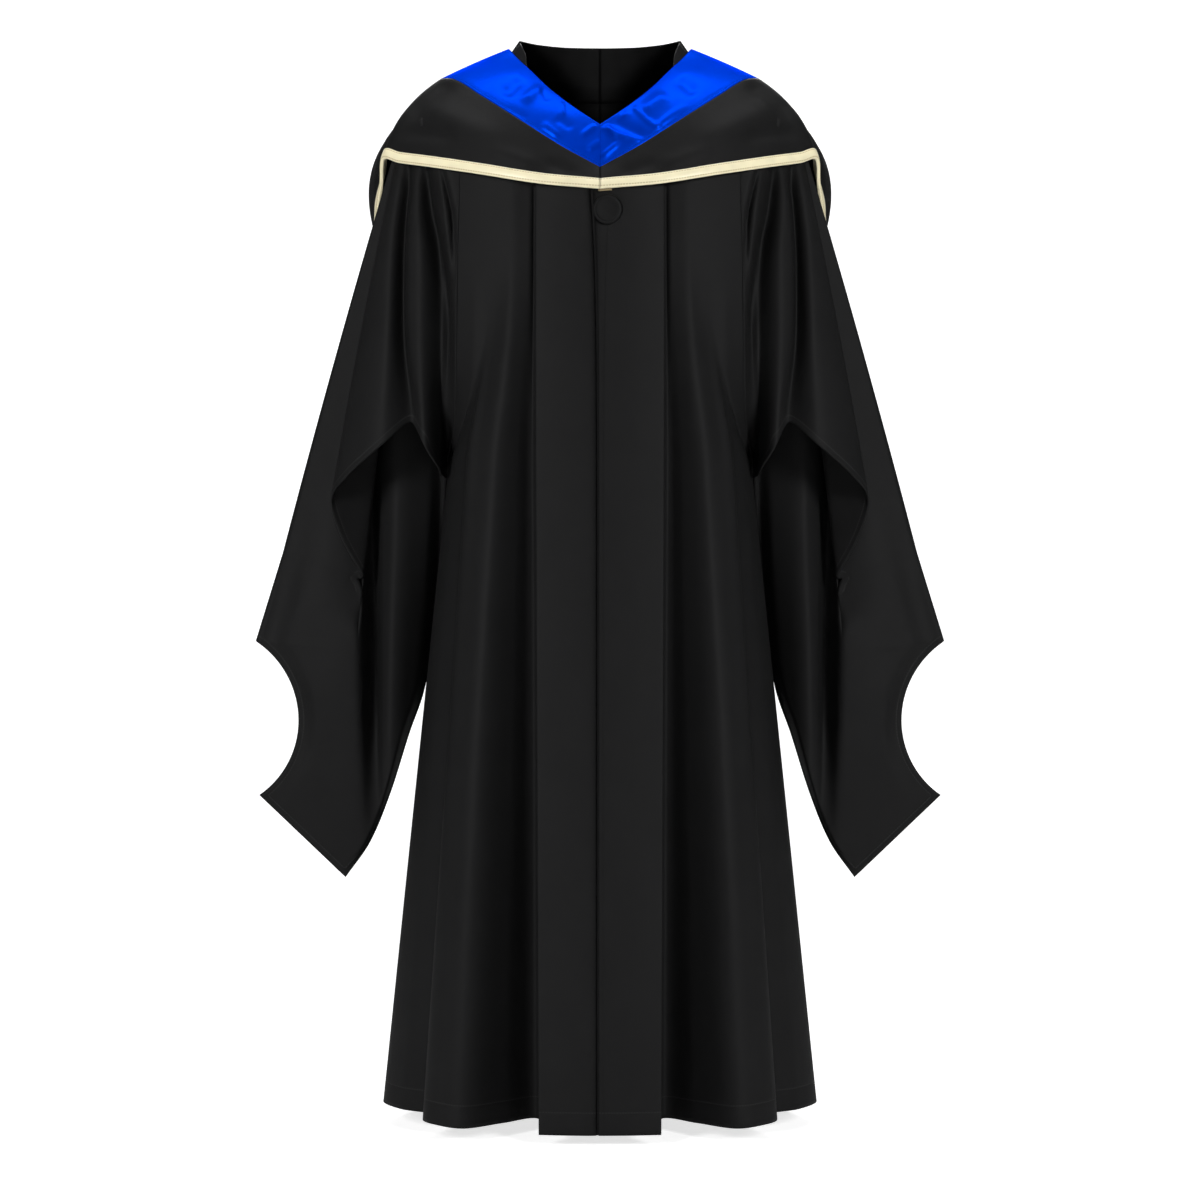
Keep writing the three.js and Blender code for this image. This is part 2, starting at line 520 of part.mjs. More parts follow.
// Sleeve back: one panel from the shoulder to the foot, between the same outer edge and the armhole's back edge.
// It bows out backwards, with two soft folds. way runs 0 to 1 beside the armhole, and 1 to 2 below it.
function sleeveBackEdges(way) {
  if (way > 1) return [outerEdge(way - 1), innerEdge(way - 1)];
  const outer = way < 0.22 ? sleeveHeadPoint(SLEEVE_FOLDS[0], way / 0.22) : sleeveUpperPoint(SLEEVE_FOLDS[0], (way - 0.22) / 0.78);
  const z = mix(-10, -437, way);
  const seam = armhole("back", Math.max(z, UNDERARM));
  return [outer, point(seam.x - SEWN - 3 * ease(way, 0.9, 1), seam.y, z)];
}
function sleeveBackPoint(across, way) {
  const [outer, inner] = sleeveBackEdges(way);
  const p = outer.clone().lerp(inner, across);
  const hanging = mix(70, 40, ease(way, 0.5, 1.4));
  const free = Math.max(hanging, inner.y);
  const innerY = mix(inner.y, free, ease(way, 0.3, 0.6) * (1 - ease(way, 1.4, 1.8)));
  const full = 26 * ease(way, 0, 0.6) * (1 - ease(way, 1, 2));
  const fold = 6 * ease(way, 0.3, 1.1) * (1 - ease(way, 1.3, 2));
  const belly = Math.sin(Math.PI * across) ** 0.8;
  p.y = mix(outer.y, innerY, across) + (inner.y - innerY) * across ** 5;
  p.y += LAYER / 2 + belly * (full + fold * Math.cos(4.4 * Math.PI * across));
  return p;
}
const BACK_WAYS = [0.02, 0.1, 0.17, 0.22, 0.32, 0.43, 0.55, 0.67, 0.79, 0.9, 0.96, 1];

function sleeveBack() {
  const ways = [...BACK_WAYS, ...LOWER_WAYS.map((way) => 1 + way)];
  return wall(sheet(ways.map((way) => steps(11).map((across) => sleeveBackPoint(across, way)))), CLOTH);
}

// A front band: a flat strip whose outer edge is turned under as a pleat.
// The profile is given across the band; it is carried from the neck edge down to the hem.
function bandProfile(overlap, dip, down) {
  const halfWidth = mix(BAND_HALF_TOP, BAND_HALF_HEM, down);
  const back = mix(RETURN_TOP, RETURN_HEM, down);
  const deep = mix(LAYER, RETURN_DEPTH_HEM, down);
  const crossing = dip > 0 ? UNDERLAP : overlap;
  return [
    { x: crossing, y: dip },
    { x: -overlap - 1.5, y: dip },
    { x: -overlap - 6, y: 0 },
    { x: -halfWidth * 0.55, y: BAND_CROWN * 0.3 },
    { x: -halfWidth + 3, y: BAND_CROWN },
    { x: -halfWidth, y: BAND_CROWN + LAYER / 2 },
    { x: -halfWidth + 3, y: BAND_CROWN + LAYER },
    { x: -halfWidth + back, y: BAND_CROWN + deep },
  ];
}
const BAND_TOPS = [0.15, 0.5, 1, 1.5, 2];
const BAND_LEVELS = [0.03, 0.08, 0.15, 0.27, 0.42, 0.58, 0.74, 0.88, 1];

function frontBand(dip) {
  const edge = hoodLine("edge", 0);
  const wide = -hoodLine("edge", 0.2).x;
  const placed = ({ x, y }, across) => underHood((-x / wide) * 0.2, across, BAND_DROP + y);
  const rows = BAND_TOPS.map((across) => bandProfile(OVERLAP_TOP, dip, 0).map((at) => placed(at, across)));
  for (const level of BAND_LEVELS) {
    const profile = bandProfile(mix(OVERLAP_HEM, OVERLAP_TOP, (1 - level) ** 12), dip, level);
    rows.push(
      profile.map((at) => {
        const top = placed(at, 2);
        const z = mix(top.z, HEM_FRONT - 1, level);
        const straight = point(at.x, mix(edge.y + BAND_DROP, BAND_Y_HEM, level) + at.y, z);
        return straight.lerp(point(top.x, top.y, z), (1 - level) ** 6);
      }),
    );
  }
  return wall(sheet(rows), CLOTH * 0.85, true);
}

// The satin band and the cape are strips of the hood's surface; the binding is a folded ribbon round its edge.
// The stations stand closer where the cape turns the corner behind the shoulder, and its rows closer to its edge.
const HOOD_TURNS = [
  ...[0, 0.04, 0.08, 0.12, 0.165, 0.21, 0.25, 0.29, 0.33, 0.37, 0.41, 0.445, 0.475, 0.5, 0.52, 0.54],
  ...[0.56, 0.58, 0.6, 0.62, 0.645, 0.67, 0.7, 0.74, 0.78, 0.82, 0.87, 0.92, 0.96, 1],
];
const BAND_ROWS = [0, 0.25, 0.5, 0.75, 1];
const CAPE_ROWS = [0, 0.22, 0.44, 0.65, 0.8, 0.9, 1];
function hoodStrip(from, to, places, thickness) {
  const rows = places.map((s) => HOOD_TURNS.map((turn) => hoodSurface(turn, mix(from, to, s))));
  return wall(sheet(rows), thickness);
}
function binding() {
  const face = CLOTH / 2 + 0.6;
  const profile = [
    [RIBBON_WIDTH, face],
    [RIBBON_WIDTH, face + RIBBON_WALL],
    [0, face + RIBBON_WALL],
    [-1.5, face],
    [-1.5, -face],
    [0, -face - RIBBON_WALL],
    [RIBBON_UNDER, -face - RIBBON_WALL],
    [RIBBON_UNDER, -face],
    [-0.5, -face],
    [-0.5, face],
  ];
  const rings = HOOD_TURNS.map((turn) => {
    const length = hoodSurface(turn, 2).distanceTo(hoodSurface(turn, 1.9)) / 0.1;
    return profile.map(([inward, lift]) => {
      const p = underHood(turn, 2 - inward / length, -lift);
      p.x = Math.min(p.x, -SEAM / 2);
      return p;
    });
  });
  const triangles = ringsJoined(rings);
  const outline = profile.map(([a, b]) => new THREE.Vector2(a, b));
  const last = (rings.length - 1) * profile.length;
  for (const [a, b, c] of THREE.ShapeUtils.triangulateShape(outline, [])) {
    triangles.push([a, c, b], [last + a, last + b, last + c]);
  }
  return closed(rings.flat(), triangles);
}

// A cloth-covered button: a domed disc on the top band.
function button() {
  const profile = [
    [0, 0],
    [BUTTON_RADIUS - 1.2, 0],
    [BUTTON_RADIUS, 1.4],
    [BUTTON_RADIUS, 3],
    [BUTTON_RADIUS - 1.4, 4.6],
    [BUTTON_RADIUS * 0.6, BUTTON_HEIGHT - 0.5],
    [0, BUTTON_HEIGHT],
  ].map(([r, h]) => new THREE.Vector2(r, h));
  return new THREE.LatheGeometry(profile, 28);
}

// The hood's button loop: a small strip under the centre of its front edge.
function loop() {
  const wide = -hoodLine("edge", 0.2).x;
  const rows = LOOP_ENDS.map((across) =>
    steps(3).map((s) => underHood((-mix(LOOP_SIDES[0], LOOP_SIDES[1], s) / wide) * 0.2, across, LOOP_DROP)),
  );
  return wall(sheet(rows), 0.8, true);
}

function mirrored(geometry) {
  const other = geometry.clone().applyMatrix4(new THREE.Matrix4().makeScale(-1, 1, 1));
  const index = other.getIndex();
  for (let i = 0; i < index.count; i += 3) {
    const b = index.getX(i + 1);
    index.setX(i + 1, index.getX(i + 2));
    index.setX(i + 2, b);
  }
  return other;
}

const gown = new THREE.Group();
function add(name, geometry, material) {
  const mesh = new THREE.Mesh(geometry, material);
  mesh.name = name;
  gown.add(mesh);
  return mesh;
}
function addPair(name, geometry, material) {
  add(name + "_right", geometry, material);
  add(name + "_left", mirrored(geometry), material);
}

addPair("front", frontPanel(), BLACK);
addPair("yoke", yoke(), BLACK);
addPair("back", backPanel(), BLACK);
addPair("sleeve_front", sleeveFront(), BLACK);
addPair("sleeve_back", sleeveBack(), BLACK);
addPair("hood_band", hoodStrip(0, 0.985, BAND_ROWS, SATIN), BLUE);
addPair("hood_cape", hoodStrip(1.012, 2, CAPE_ROWS, CLOTH), BLACK);
addPair("hood_ribbon", binding(), CREAM);
add("band_right", frontBand(LAYER), BLACK);
add("band_left", mirrored(frontBand(0)), BLACK);
const covered = add("button", button(), BLACK);
covered.rotation.x = Math.PI;
covered.position.set(BUTTON_X, -124.8, BUTTON_Z);
add("hood_loop", loop(), TAN);

export default gown;
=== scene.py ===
# %% [markdown]
# A black graduation gown hangs as if worn, with a blue and cream hood round its neck. The solids of the
# part come in first, as a fixed frame. Every piece of cloth is then made again here as a fine, thin shell
# that follows the same tables, with the smaller creases, hems and stitches that the solids leave out.

import math

import bmesh
import bpy
import numpy as np
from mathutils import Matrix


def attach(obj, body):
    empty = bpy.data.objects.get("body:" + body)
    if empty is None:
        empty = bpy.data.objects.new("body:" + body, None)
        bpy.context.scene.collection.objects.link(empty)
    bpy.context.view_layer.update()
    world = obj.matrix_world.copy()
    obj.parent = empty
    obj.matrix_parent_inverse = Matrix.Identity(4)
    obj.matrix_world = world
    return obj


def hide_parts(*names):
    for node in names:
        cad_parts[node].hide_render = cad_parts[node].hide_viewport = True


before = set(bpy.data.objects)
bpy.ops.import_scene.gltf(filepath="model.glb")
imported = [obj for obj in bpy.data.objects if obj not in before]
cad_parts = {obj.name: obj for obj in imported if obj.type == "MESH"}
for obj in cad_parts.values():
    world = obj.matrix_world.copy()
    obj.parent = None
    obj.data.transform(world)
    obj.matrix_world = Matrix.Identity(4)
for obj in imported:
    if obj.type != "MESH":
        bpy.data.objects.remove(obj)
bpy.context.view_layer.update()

# %% [markdown]
# The camera stands three metres in front of the gown, level with its middle. The photograph was measured at
# 1.1 mm a pixel in the plane of the shoulders, so 1200 pixels are 1.32 m there. That fixes the lens.

# %% Camera
CAMERA_DISTANCE = 3.0
CAMERA_HEIGHT = -0.572
FRAME_WIDTH = 1.32
SENSOR = 36.0

camera_data = bpy.data.cameras.new("camera")
camera_data.sensor_width = SENSOR
camera_data.sensor_fit = "HORIZONTAL"
camera_data.lens = SENSOR * CAMERA_DISTANCE / FRAME_WIDTH
camera_data.clip_end = 60
camera = bpy.data.objects.new("camera", camera_data)
camera.location = (0, -CAMERA_DISTANCE, CAMERA_HEIGHT)
camera.rotation_euler = (math.radians(90), 0, 0)
bpy.context.scene.collection.objects.link(camera)
bpy.context.scene.camera = camera
print("lens:", round(camera_data.lens, 1), "mm")

# %% [markdown]
# Cloth in a workshop is drawn from a few measures, and the curve between them is faired by eye. Here a
# table gives the measures, and a cubic through its rows does the fairing. Everything is in millimetres
# until a mesh is made, because that is how the maker's table is written.

# %% Small helpers for curves and points
def through(keys, values, at):
    """The value at each place `at` of a smooth curve through rows of values.

    Each span is a cubic with the slopes of the chords between its neighbours at its two ends, and it goes on
    straight past the first and last rows."""
    keys = np.asarray(keys, float)
    values = np.asarray(values, float)
    if keys[0] > keys[-1]:
        keys, values = keys[::-1], values[::-1]
    chords = np.diff(values, axis=0) / np.diff(keys).reshape((-1,) + (1,) * (values.ndim - 1))
    wide = (values[2:] - values[:-2]) / (keys[2:] - keys[:-2]).reshape((-1,) + (1,) * (values.ndim - 1))
    slopes = np.concatenate([chords[:1], wide, chords[-1:]])
    at = np.asarray(at, float)
    i = np.clip(np.searchsorted(keys, at, side="right") - 1, 0, len(keys) - 2)
    tail = (1,) * (values.ndim - 1)
    span = (keys[i + 1] - keys[i]).reshape(at.shape + tail)
    u = (at.reshape(at.shape + tail) - keys[i].reshape(at.shape + tail)) / span
    inside = np.clip(u, 0, 1)
    v, w = inside**2, inside**3
    curve = (2 * w - 3 * v + 1) * values[i] + (w - 2 * v + inside) * span * slopes[i]
    curve = curve + (3 * v - 2 * w) * values[i + 1] + (w - v) * span * slopes[i + 1]
    before = np.minimum(u, 0) * span * slopes[i]
    after = np.maximum(u - 1, 0) * span * slopes[i + 1]
    return curve + before + after


def mix(a, b, share):
    """a at share 0, b at share 1, straight between."""
    return a + (b - a) * share


def ease(value, low, high):
    """0 below low, 1 above high, and an S-shaped rise between: 3 t squared less 2 t cubed."""
    t = np.clip((value - low) / (high - low), 0, 1)
    return t * t * (3 - 2 * t)


def unit(vectors):
    """The vectors cut to length one."""
    return vectors / np.maximum(np.linalg.norm(vectors, axis=-1, keepdims=True), 1e-9)


def xyz(x, y, z):
    """Three arrays joined to one of points."""
    return np.stack(np.broadcast_arrays(x, y, z), axis=-1).astype(float)


print("halfway between rows 0, 1, 4:", through([0, 1, 2], [0, 1, 4], np.array([0.5, 1.5])))

# %% [markdown]
# The hood lies on the shoulders like a shallow cone with a V in front. Four lines run round it: the gown's
# neck edge, the two edges of the blue satin band, and the lower edge of the black cape. The table has a
# station from the centre front (turn 0) over the shoulder ridge (0.5) to the centre back (1), and each is
# x, y and z. It could be draped by simulation, but lines taken from the photograph hold its outline
# exactly.

# %% The hood's lines and surface
HOOD_TURN = [0.0, 0.12, 0.25, 0.37, 0.45, 0.5, 0.55, 0.62, 0.7, 0.82, 0.92, 1.0]
HOOD_LINES = {
    "neck": [
        (-1, -94, -72), (-29, -81, -52), (-57, -59, -27), (-76, -34, 2), (-82, -14, 26), (-88, 3, 42),
        (-87, 22, 47), (-83, 42, 50), (-69, 61, 51), (-42, 75, 51), (-19, 79, 51), (0, 80, 51),
    ],
    "inner": [
        (0, -97, -66), (-27, -84, -46), (-54, -62, -22), (-76, -38, 3), (-91, -15, 21), (-100, 3, 34),
        (-101, 22, 33), (-98, 44, 29), (-86, 66, 23), (-56, 85, 16), (-26, 92, 11), (0, 94, 9),
    ],
    "outer": [
        (0, -113, -114), (-42, -108, -90), (-90, -92, -57), (-130, -60, -27), (-157, -26, -5), (-174, 0, 1),
        (-174, 20, -2), (-169, 44, -10), (-154, 72, -28), (-114, 101, -68), (-56, 117, -104), (0, 122, -118),
    ],
    "edge": [
        (0, -128, -137), (-63, -123, -131), (-128, -103, -118), (-183, -72, -105.4), (-218, -40, -96),
        (-237, -16, -89), (-241, 6, -114), (-247, 34, -147), (-243, 80, -188), (-184, 124, -238),
        (-94, 144, -276), (0, 150, -290),
    ],
}
# How far the band and the cape stand out from the straight line between their edges, at each station.
BAND_BOW = [1, 3, 5, 6, 3, 1, 1, 3, 5, 6, 6, 6]
CAPE_BOW = [0.5, 1.5, 4, 8, 11, 11, 13, 37, 57, 24, 10, 9]
# Turns of the shoulder ridge, the armhole's front and the band's pleat; and how far across the ridge the
# armhole begins.
RIDGE = 0.5
SCYE_TURN = 0.305
PLEAT_TURN = 0.1
SHOULDER_POINT = 0.78
# How far the gown lies below the hood, in front and at the ridge, and how much further under the pleat.
GOWN_DROP_FRONT, GOWN_DROP_RIDGE, PLEAT_DROP = 11, 6, 4.8


def hood_line(name, turn):
    """A point of one of the lines round the hood; a turn below 0 is on the other half."""
    point = through(HOOD_TURN, HOOD_LINES[name], np.abs(turn))
    point[..., 0] *= np.where(np.asarray(turn) < 0, -1, 1)
    return point


def hood_surface(turn, across):
    """The hood: across 0 to 1 is the satin band, 1 to 2 the cape.

    Between two edges the cloth stands out from the chord by 4 s (1 - s) times the station's bow."""
    turn, across = np.broadcast_arrays(np.asarray(turn, float), np.asarray(across, float))
    on_cape = (across > 1)[..., None]
    start = np.where(on_cape, hood_line("outer", turn), hood_line("inner", turn))
    end = np.where(on_cape, hood_line("edge", turn), hood_line("outer", turn))
    station = np.abs(turn)
    bow = np.where(across > 1, through(HOOD_TURN, CAPE_BOW, station), through(HOOD_TURN, BAND_BOW, station))
    share = np.where(across > 1, across - 1, across)
    middle = start + end
    radial = unit(xyz(middle[..., 0], middle[..., 1], 0 * share))
    run = end - start
    out = unit(radial * -run[..., 2:] + xyz(0, 0, 1) * np.sum(run * radial, axis=-1, keepdims=True))
    return start + run * share[..., None] + out * (4 * bow * share * (1 - share))[..., None]


def hood_normal(turn, across):
    """The outward direction of the hood: the step round it crossed with the step down it."""
    turn, across = np.broadcast_arrays(np.asarray(turn, float), np.asarray(across, float))
    low = np.minimum(np.maximum(across, 0.02), 1.96)
    here = hood_surface(turn, low)
    return unit(np.cross(hood_surface(turn + 0.01, low) - here, hood_surface(turn, low + 0.01) - here))


def under_hood(turn, across, drop):
    """The hood's surface moved in at right angles by drop. Past its edges the last direction is kept."""
    return hood_surface(turn, across) - hood_normal(turn, across) * np.asarray(drop, float)[..., None]


def gown_surface(turn, across):
    """The gown below the hood: the hood's surface less a drop that eases from front to ridge.

    Above across 0 it rises in a straight line to the gown's own neck edge, at -1."""
    turn, across = np.broadcast_arrays(np.asarray(turn, float), np.asarray(across, float))
    front = 1 - ease(np.abs(turn), 0.12, 0.46)
    pleat = PLEAT_DROP * (1 - ease(np.abs(turn), 0.14, 0.19))
    drop = mix(GOWN_DROP_RIDGE, GOWN_DROP_FRONT, front) + pleat
    lying = under_hood(turn, np.maximum(across, 0), drop)
    hidden = under_hood(turn, 0.06 * across, drop)
    free = mix(under_hood(turn, 0 * across, drop), hood_line("neck", turn), -across[..., None])
    above = mix(hidden, free, ease(np.abs(turn), 0.3, 0.45)[..., None])
    return np.where((across >= 0)[..., None], lying, above)


print("shoulder point:", gown_surface(RIDGE, SHOULDER_POINT).round(1))

# %% [markdown]
# A panel of cloth is a grid of points: rows run down it, columns across. One helper turns such a grid into
# a mesh with a map of its flat cut, so that weave and stitches can be drawn in millimetres. The wearer's
# right half is worked out, and the left one is its mirror image, with the faces turned back so they look
# out.

# %% Grids become pieces of cloth
MM = 0.001
CLOTH = 1.6


def steps(count):
    """count equal steps from 0 to 1."""
    return np.linspace(0, 1, count + 1)


def lengths(points, axis):
    """Distance along each row or column from its first point: the running sum of the steps between points."""
    strides = np.linalg.norm(np.diff(points, axis=axis), axis=-1)
    start = np.zeros_like(np.take(strides, [0], axis=axis))
    return np.concatenate([start, np.cumsum(strides, axis=axis)], axis=axis)


def flat_map(points):
    """The cut's own coordinates in millimetres: across from the first column, and up from the last row."""
    across = lengths(points, 1)
    down = lengths(points, 0)
    return np.stack([across, down[-1:] - down], axis=-1)


def quads(index):
    """The four corners of each cell of a grid of vertex numbers."""
    return np.stack([index[:-1, :-1], index[:-1, 1:], index[1:, 1:], index[1:, :-1]], axis=-1).reshape(-1, 4)


def grid(points):
    """The quads of one whole grid of points, whose vertices are numbered row by row."""
    return quads(np.arange(points[..., 0].size).reshape(points.shape[:2]))


def make_mesh(name, points, faces, uv, hem=None):
    """A mesh of quads from points in millimetres, with a map of its cut, and one of its hem, in metres."""
    mesh = bpy.data.meshes.new(name)
    mesh.vertices.add(len(points))
    mesh.vertices.foreach_set("co", (points * MM).astype(np.float32).ravel())
    mesh.loops.add(faces.size)
    mesh.loops.foreach_set("vertex_index", faces.astype(np.int32).ravel())
    mesh.polygons.add(len(faces))
    mesh.polygons.foreach_set("loop_start", np.arange(0, faces.size, faces.shape[1], dtype=np.int32))
    mesh.polygons.foreach_set("use_smooth", np.ones(len(faces), bool))
    for title, values in (("cut", uv), ("hem", uv if hem is None else hem)):
        layer = mesh.uv_layers.new(name=title)
        layer.data.foreach_set("uv", (values[faces.ravel()] * MM).astype(np.float32).ravel())
    mesh.update(calc_edges=True)
    mesh.validate()
    return mesh


def cloth_piece(name, points, faces, uv, material, facing, wall=CLOTH, hem=None):
    """A shell of cloth as an object: its faces are turned to look along facing, and a wall is added to it."""
    a, b, c = points[faces[:, 0]], points[faces[:, 1]], points[faces[:, 2]]
    normals = np.cross(b - a, c - a)
    outward = facing(a) if callable(facing) else np.asarray(facing, float)
    if np.sum(normals * outward) < 0:
        faces = faces[:, ::-1]
    mesh = make_mesh(name, points, faces, uv, hem)
    mesh.materials.append(material)
    piece = bpy.data.objects.new(name, mesh)
    bpy.context.scene.collection.objects.link(piece)
    if wall:
        solidify = piece.modifiers.new("wall", "SOLIDIFY")
        solidify.thickness = wall * MM
        solidify.offset = 0
    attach(piece, "root")
    return piece


# The ways in which pieces face.
FORWARD, BACKWARD, BACK_AND_UP = (0, -1, 0), (0, 1, 0), (0, 1, 0.3)


def hem_map(points, border):
    """For each point: the nearest place along a border line, and the distance to it, in millimetres."""
    flat = points.reshape(-1, 3)
    away = np.linalg.norm(flat[:, None] - border[None], axis=-1)
    nearest = np.argmin(away, axis=1)
    along = lengths(border, 0)
    return np.stack([along[nearest], away[np.arange(len(flat)), nearest]], axis=-1)


def both_halves(name, make, material, facing, wall=CLOTH):
    """The piece that make(side) gives, for the right half (side -1) and mirrored for the left (side 1).

    make gives points, quads, the map of the cut and, for some pieces, the map of the hem. Only the satin band
    makes use of the side, for its creases."""
    made = []
    for side, word in ((-1, "right"), (1, "left")):
        points, faces, cut, *hem = make(side)
        hem = hem[0].reshape(-1, 2) if hem else None
        cut = cut.reshape(-1, 2)
        points = points.reshape(-1, 3)
        points[:, 0] = np.minimum(points[:, 0], 0)
        look = facing
        if side > 0:
            points = points * np.array([-1, 1, 1])
            look = facing if callable(facing) else tuple(np.array(facing) * np.array([-1, 1, 1]))
        piece = cloth_piece(name + "_cloth_" + word, points, faces, cut, material, look, wall, hem)
        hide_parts(name + "_" + word)
        made.append(piece)
        print(piece.name, len(faces), "quads")
    return made


# %% [markdown]
# Cloth that hangs from the shoulders keeps the same few folds from top to hem, so a panel is described by
# its fold lines: a row for each, with where it starts, where it passes the underarm and where it meets the
# hem. From the underarm down each line is straight, as gravity would have it.

# %% Fold tables of the body
# Heights of the hem at the centre front and at the side, and of the underarm. A share says how far a fold
# line lies from the panel's inner edge to its side seam. Arm and hem give x and y at the underarm and at
# the hem.
HEM_FRONT, HEM_SIDE, UNDERARM = -1128, -1119, -430
FRONT_SHARE = [0.0, 0.14, 0.26, 0.4, 0.56, 0.66, 0.74, 0.85, 0.94, 1.0]
FRONT_ARM = [(-51, -120.5), (-70, -108), (-89, -112), (-112, -119), (-131, -106), (-141, -97), (-143, -84),
             (-158, -54), (-165, -22), (-164, 8)]
FRONT_HEM = [(-45, -136.2), (-70, -78), (-103, -112), (-142, -150), (-173, -136), (-187, -114), (-180, -84),
             (-214, -62), (-236, -20), (-219, 25)]
BACK_SHARE = [0.0, 0.12, 0.22, 0.34, 0.45, 0.57, 0.69, 0.81, 0.91, 1.0]
BACK_HEM = [(0, 158), (-27, 184), (-52, 154), (-84, 178), (-108, 143), (-146, 158), (-160, 116), (-204, 106),
            (-205, 62), (-219, 25.1)]
# The armhole: x and y of its front and back edges at each height.
SCYE_Z = [-5, -60, -114.7, -200, -300, -360, -402, -424, -430]
SCYE_FRONT = [(-157, -8), (-156, -60), (-150, -83.3), (-151.5, -83), (-153, -78), (-155, -62), (-160, -36),
              (-163, -10), (-164, 8)]
SCYE_BACK = [(-157, 14), (-158, 50), (-158, 63), (-157, 69), (-157, 66), (-158, 54), (-160, 36), (-163, 19),
             (-164, 8.2)]
# Height of the yoke's seam; how far across the panels reach under the cape's edge; and the turns at which
# front and back end, a little before and behind the ridge.
YOKE_SEAM = -7
UNDER_EDGE = 1.93
FRONT_OF_RIDGE = RIDGE - 0.006
BEHIND_RIDGE = RIDGE + 0.02


def armhole(edge, z):
    """x and y at height z of one edge of the armhole, as a smooth curve through its table."""
    return through(SCYE_Z, edge, z)


def by_fold(table, fold):
    """A table's value at a place counted in fold lines: smooth between the rows."""
    return through(range(len(table)), table, fold)


def sleeve_head(way):
    """Turn and across of the armhole's upper part: straight from the ridge (0) to the cape's edge (1)."""
    return mix(RIDGE, SCYE_TURN, way), mix(SHOULDER_POINT, UNDER_EDGE, way)


print("armhole's front at its middle:", armhole(SCYE_FRONT, -200.0).round(1))

# %% [markdown]
# A front panel starts at the shoulder ridge, follows the neck and then the pleat behind the band, and its
# fold lines take over below the cape. The back panel starts at the yoke's seam. Both are functions of a
# fold line and of a level, so any number of columns and rows can be asked for.

# %% Surfaces of the body
# The front panel's inner edge under the hood, from the ridge to the cape's edge: turn and across.
FRONT_TOP_TURN = [FRONT_OF_RIDGE, 0.43, 0.36, 0.28, 0.19, PLEAT_TURN, PLEAT_TURN, PLEAT_TURN, PLEAT_TURN]
FRONT_TOP_ACROSS = [-1, -1, -0.4, 0.03, 0.03, 0.03, 0.6, 1.3, UNDER_EDGE]


def front_top(way, share):
    """The front panel under the hood: straight shares from its inner edge to the ridge or the armhole."""
    step = way * (len(FRONT_TOP_TURN) - 1)
    turn_in = np.interp(step, range(len(FRONT_TOP_TURN)), FRONT_TOP_TURN)
    across_in = np.interp(step, range(len(FRONT_TOP_TURN)), FRONT_TOP_ACROSS)
    turn_out, across_out = sleeve_head(way)
    turn = np.minimum(mix(turn_in, turn_out, share), FRONT_OF_RIDGE)
    return gown_surface(turn, mix(across_in, across_out, share))


def front_low(fold, level):
    """The front panel from the cape's edge (level 0) to the hem (1).

    It keeps the chest's shape near the cape and eases into straight fold lines by the underarm."""
    share = by_fold(FRONT_SHARE, fold)
    top = gown_surface(mix(PLEAT_TURN, SCYE_TURN, share), 2)
    seam_top = gown_surface(np.array(SCYE_TURN), 2)
    hem_z = mix(HEM_FRONT, HEM_SIDE, share)
    z = mix(top[..., 2], hem_z, level)
    seam = armhole(SCYE_FRONT, np.maximum(z, UNDERARM))
    near_seam = share**4
    free = mix(-top[..., 2], -UNDERARM, share**2)
    chest = top[..., :2] + (seam - seam_top[:2]) * near_seam[..., None]
    low = (UNDERARM - z) / (UNDERARM - hem_z)
    hanging = mix(by_fold(FRONT_ARM, fold), by_fold(FRONT_HEM, fold), low[..., None])
    weight = np.where(z <= UNDERARM, 1, ease(-z, free, 1 - UNDERARM))
    xy = mix(chest, hanging, weight[..., None])
    return xyz(xy[..., 0], xy[..., 1], z)


def yoke_foot(turn):
    """How far across the yoke reaches: to the yoke seam's height at the back, or the shoulder point."""
    inner, outer = hood_line("inner", turn)[..., 2], hood_line("outer", turn)[..., 2]
    return np.minimum(SHOULDER_POINT, (inner - YOKE_SEAM) / (inner - outer))


def back_low(fold, level):
    """The back panel: each flute line is straight from the yoke seam to the hem.

    Towards the side seam, by the cube of the share, it follows the armhole's edge instead."""
    share = by_fold(BACK_SHARE, fold)
    turn = mix(1, BEHIND_RIDGE, share)
    top = gown_surface(turn, yoke_foot(turn))
    top[..., 2] -= 0.4
    side_top = gown_surface(np.array(BEHIND_RIDGE), SHOULDER_POINT)
    side_hem = np.array(BACK_HEM[-1])
    hem_z = mix(HEM_FRONT, HEM_SIDE, share)
    z = mix(top[..., 2], hem_z, level)
    low = np.clip((UNDERARM - z) / (UNDERARM - hem_z), 0, 1)
    side = mix(armhole(SCYE_BACK, np.maximum(z, UNDERARM)), side_hem, low[..., None])
    down = ((top[..., 2] - z) / (top[..., 2] - hem_z))[..., None]
    straight = mix(top[..., :2], by_fold(BACK_HEM, fold), down)
    xy = straight + (side - mix(side_top[:2], side_hem, down)) * (share**3)[..., None]
    return xyz(xy[..., 0], xy[..., 1], z)


print("hem at the side:", front_low(np.array(9.0), np.array(1.0)).round(1))

# %% [markdown]
# Every cloth here shares the same few effects: a twill or satin weave, rows of stitches, and the slight
# unevenness of worn cloth. Each is a shader node group, built once, and placed in a material with that
# cloth's own values. A few methods for arithmetic on node sockets keep the groups short.

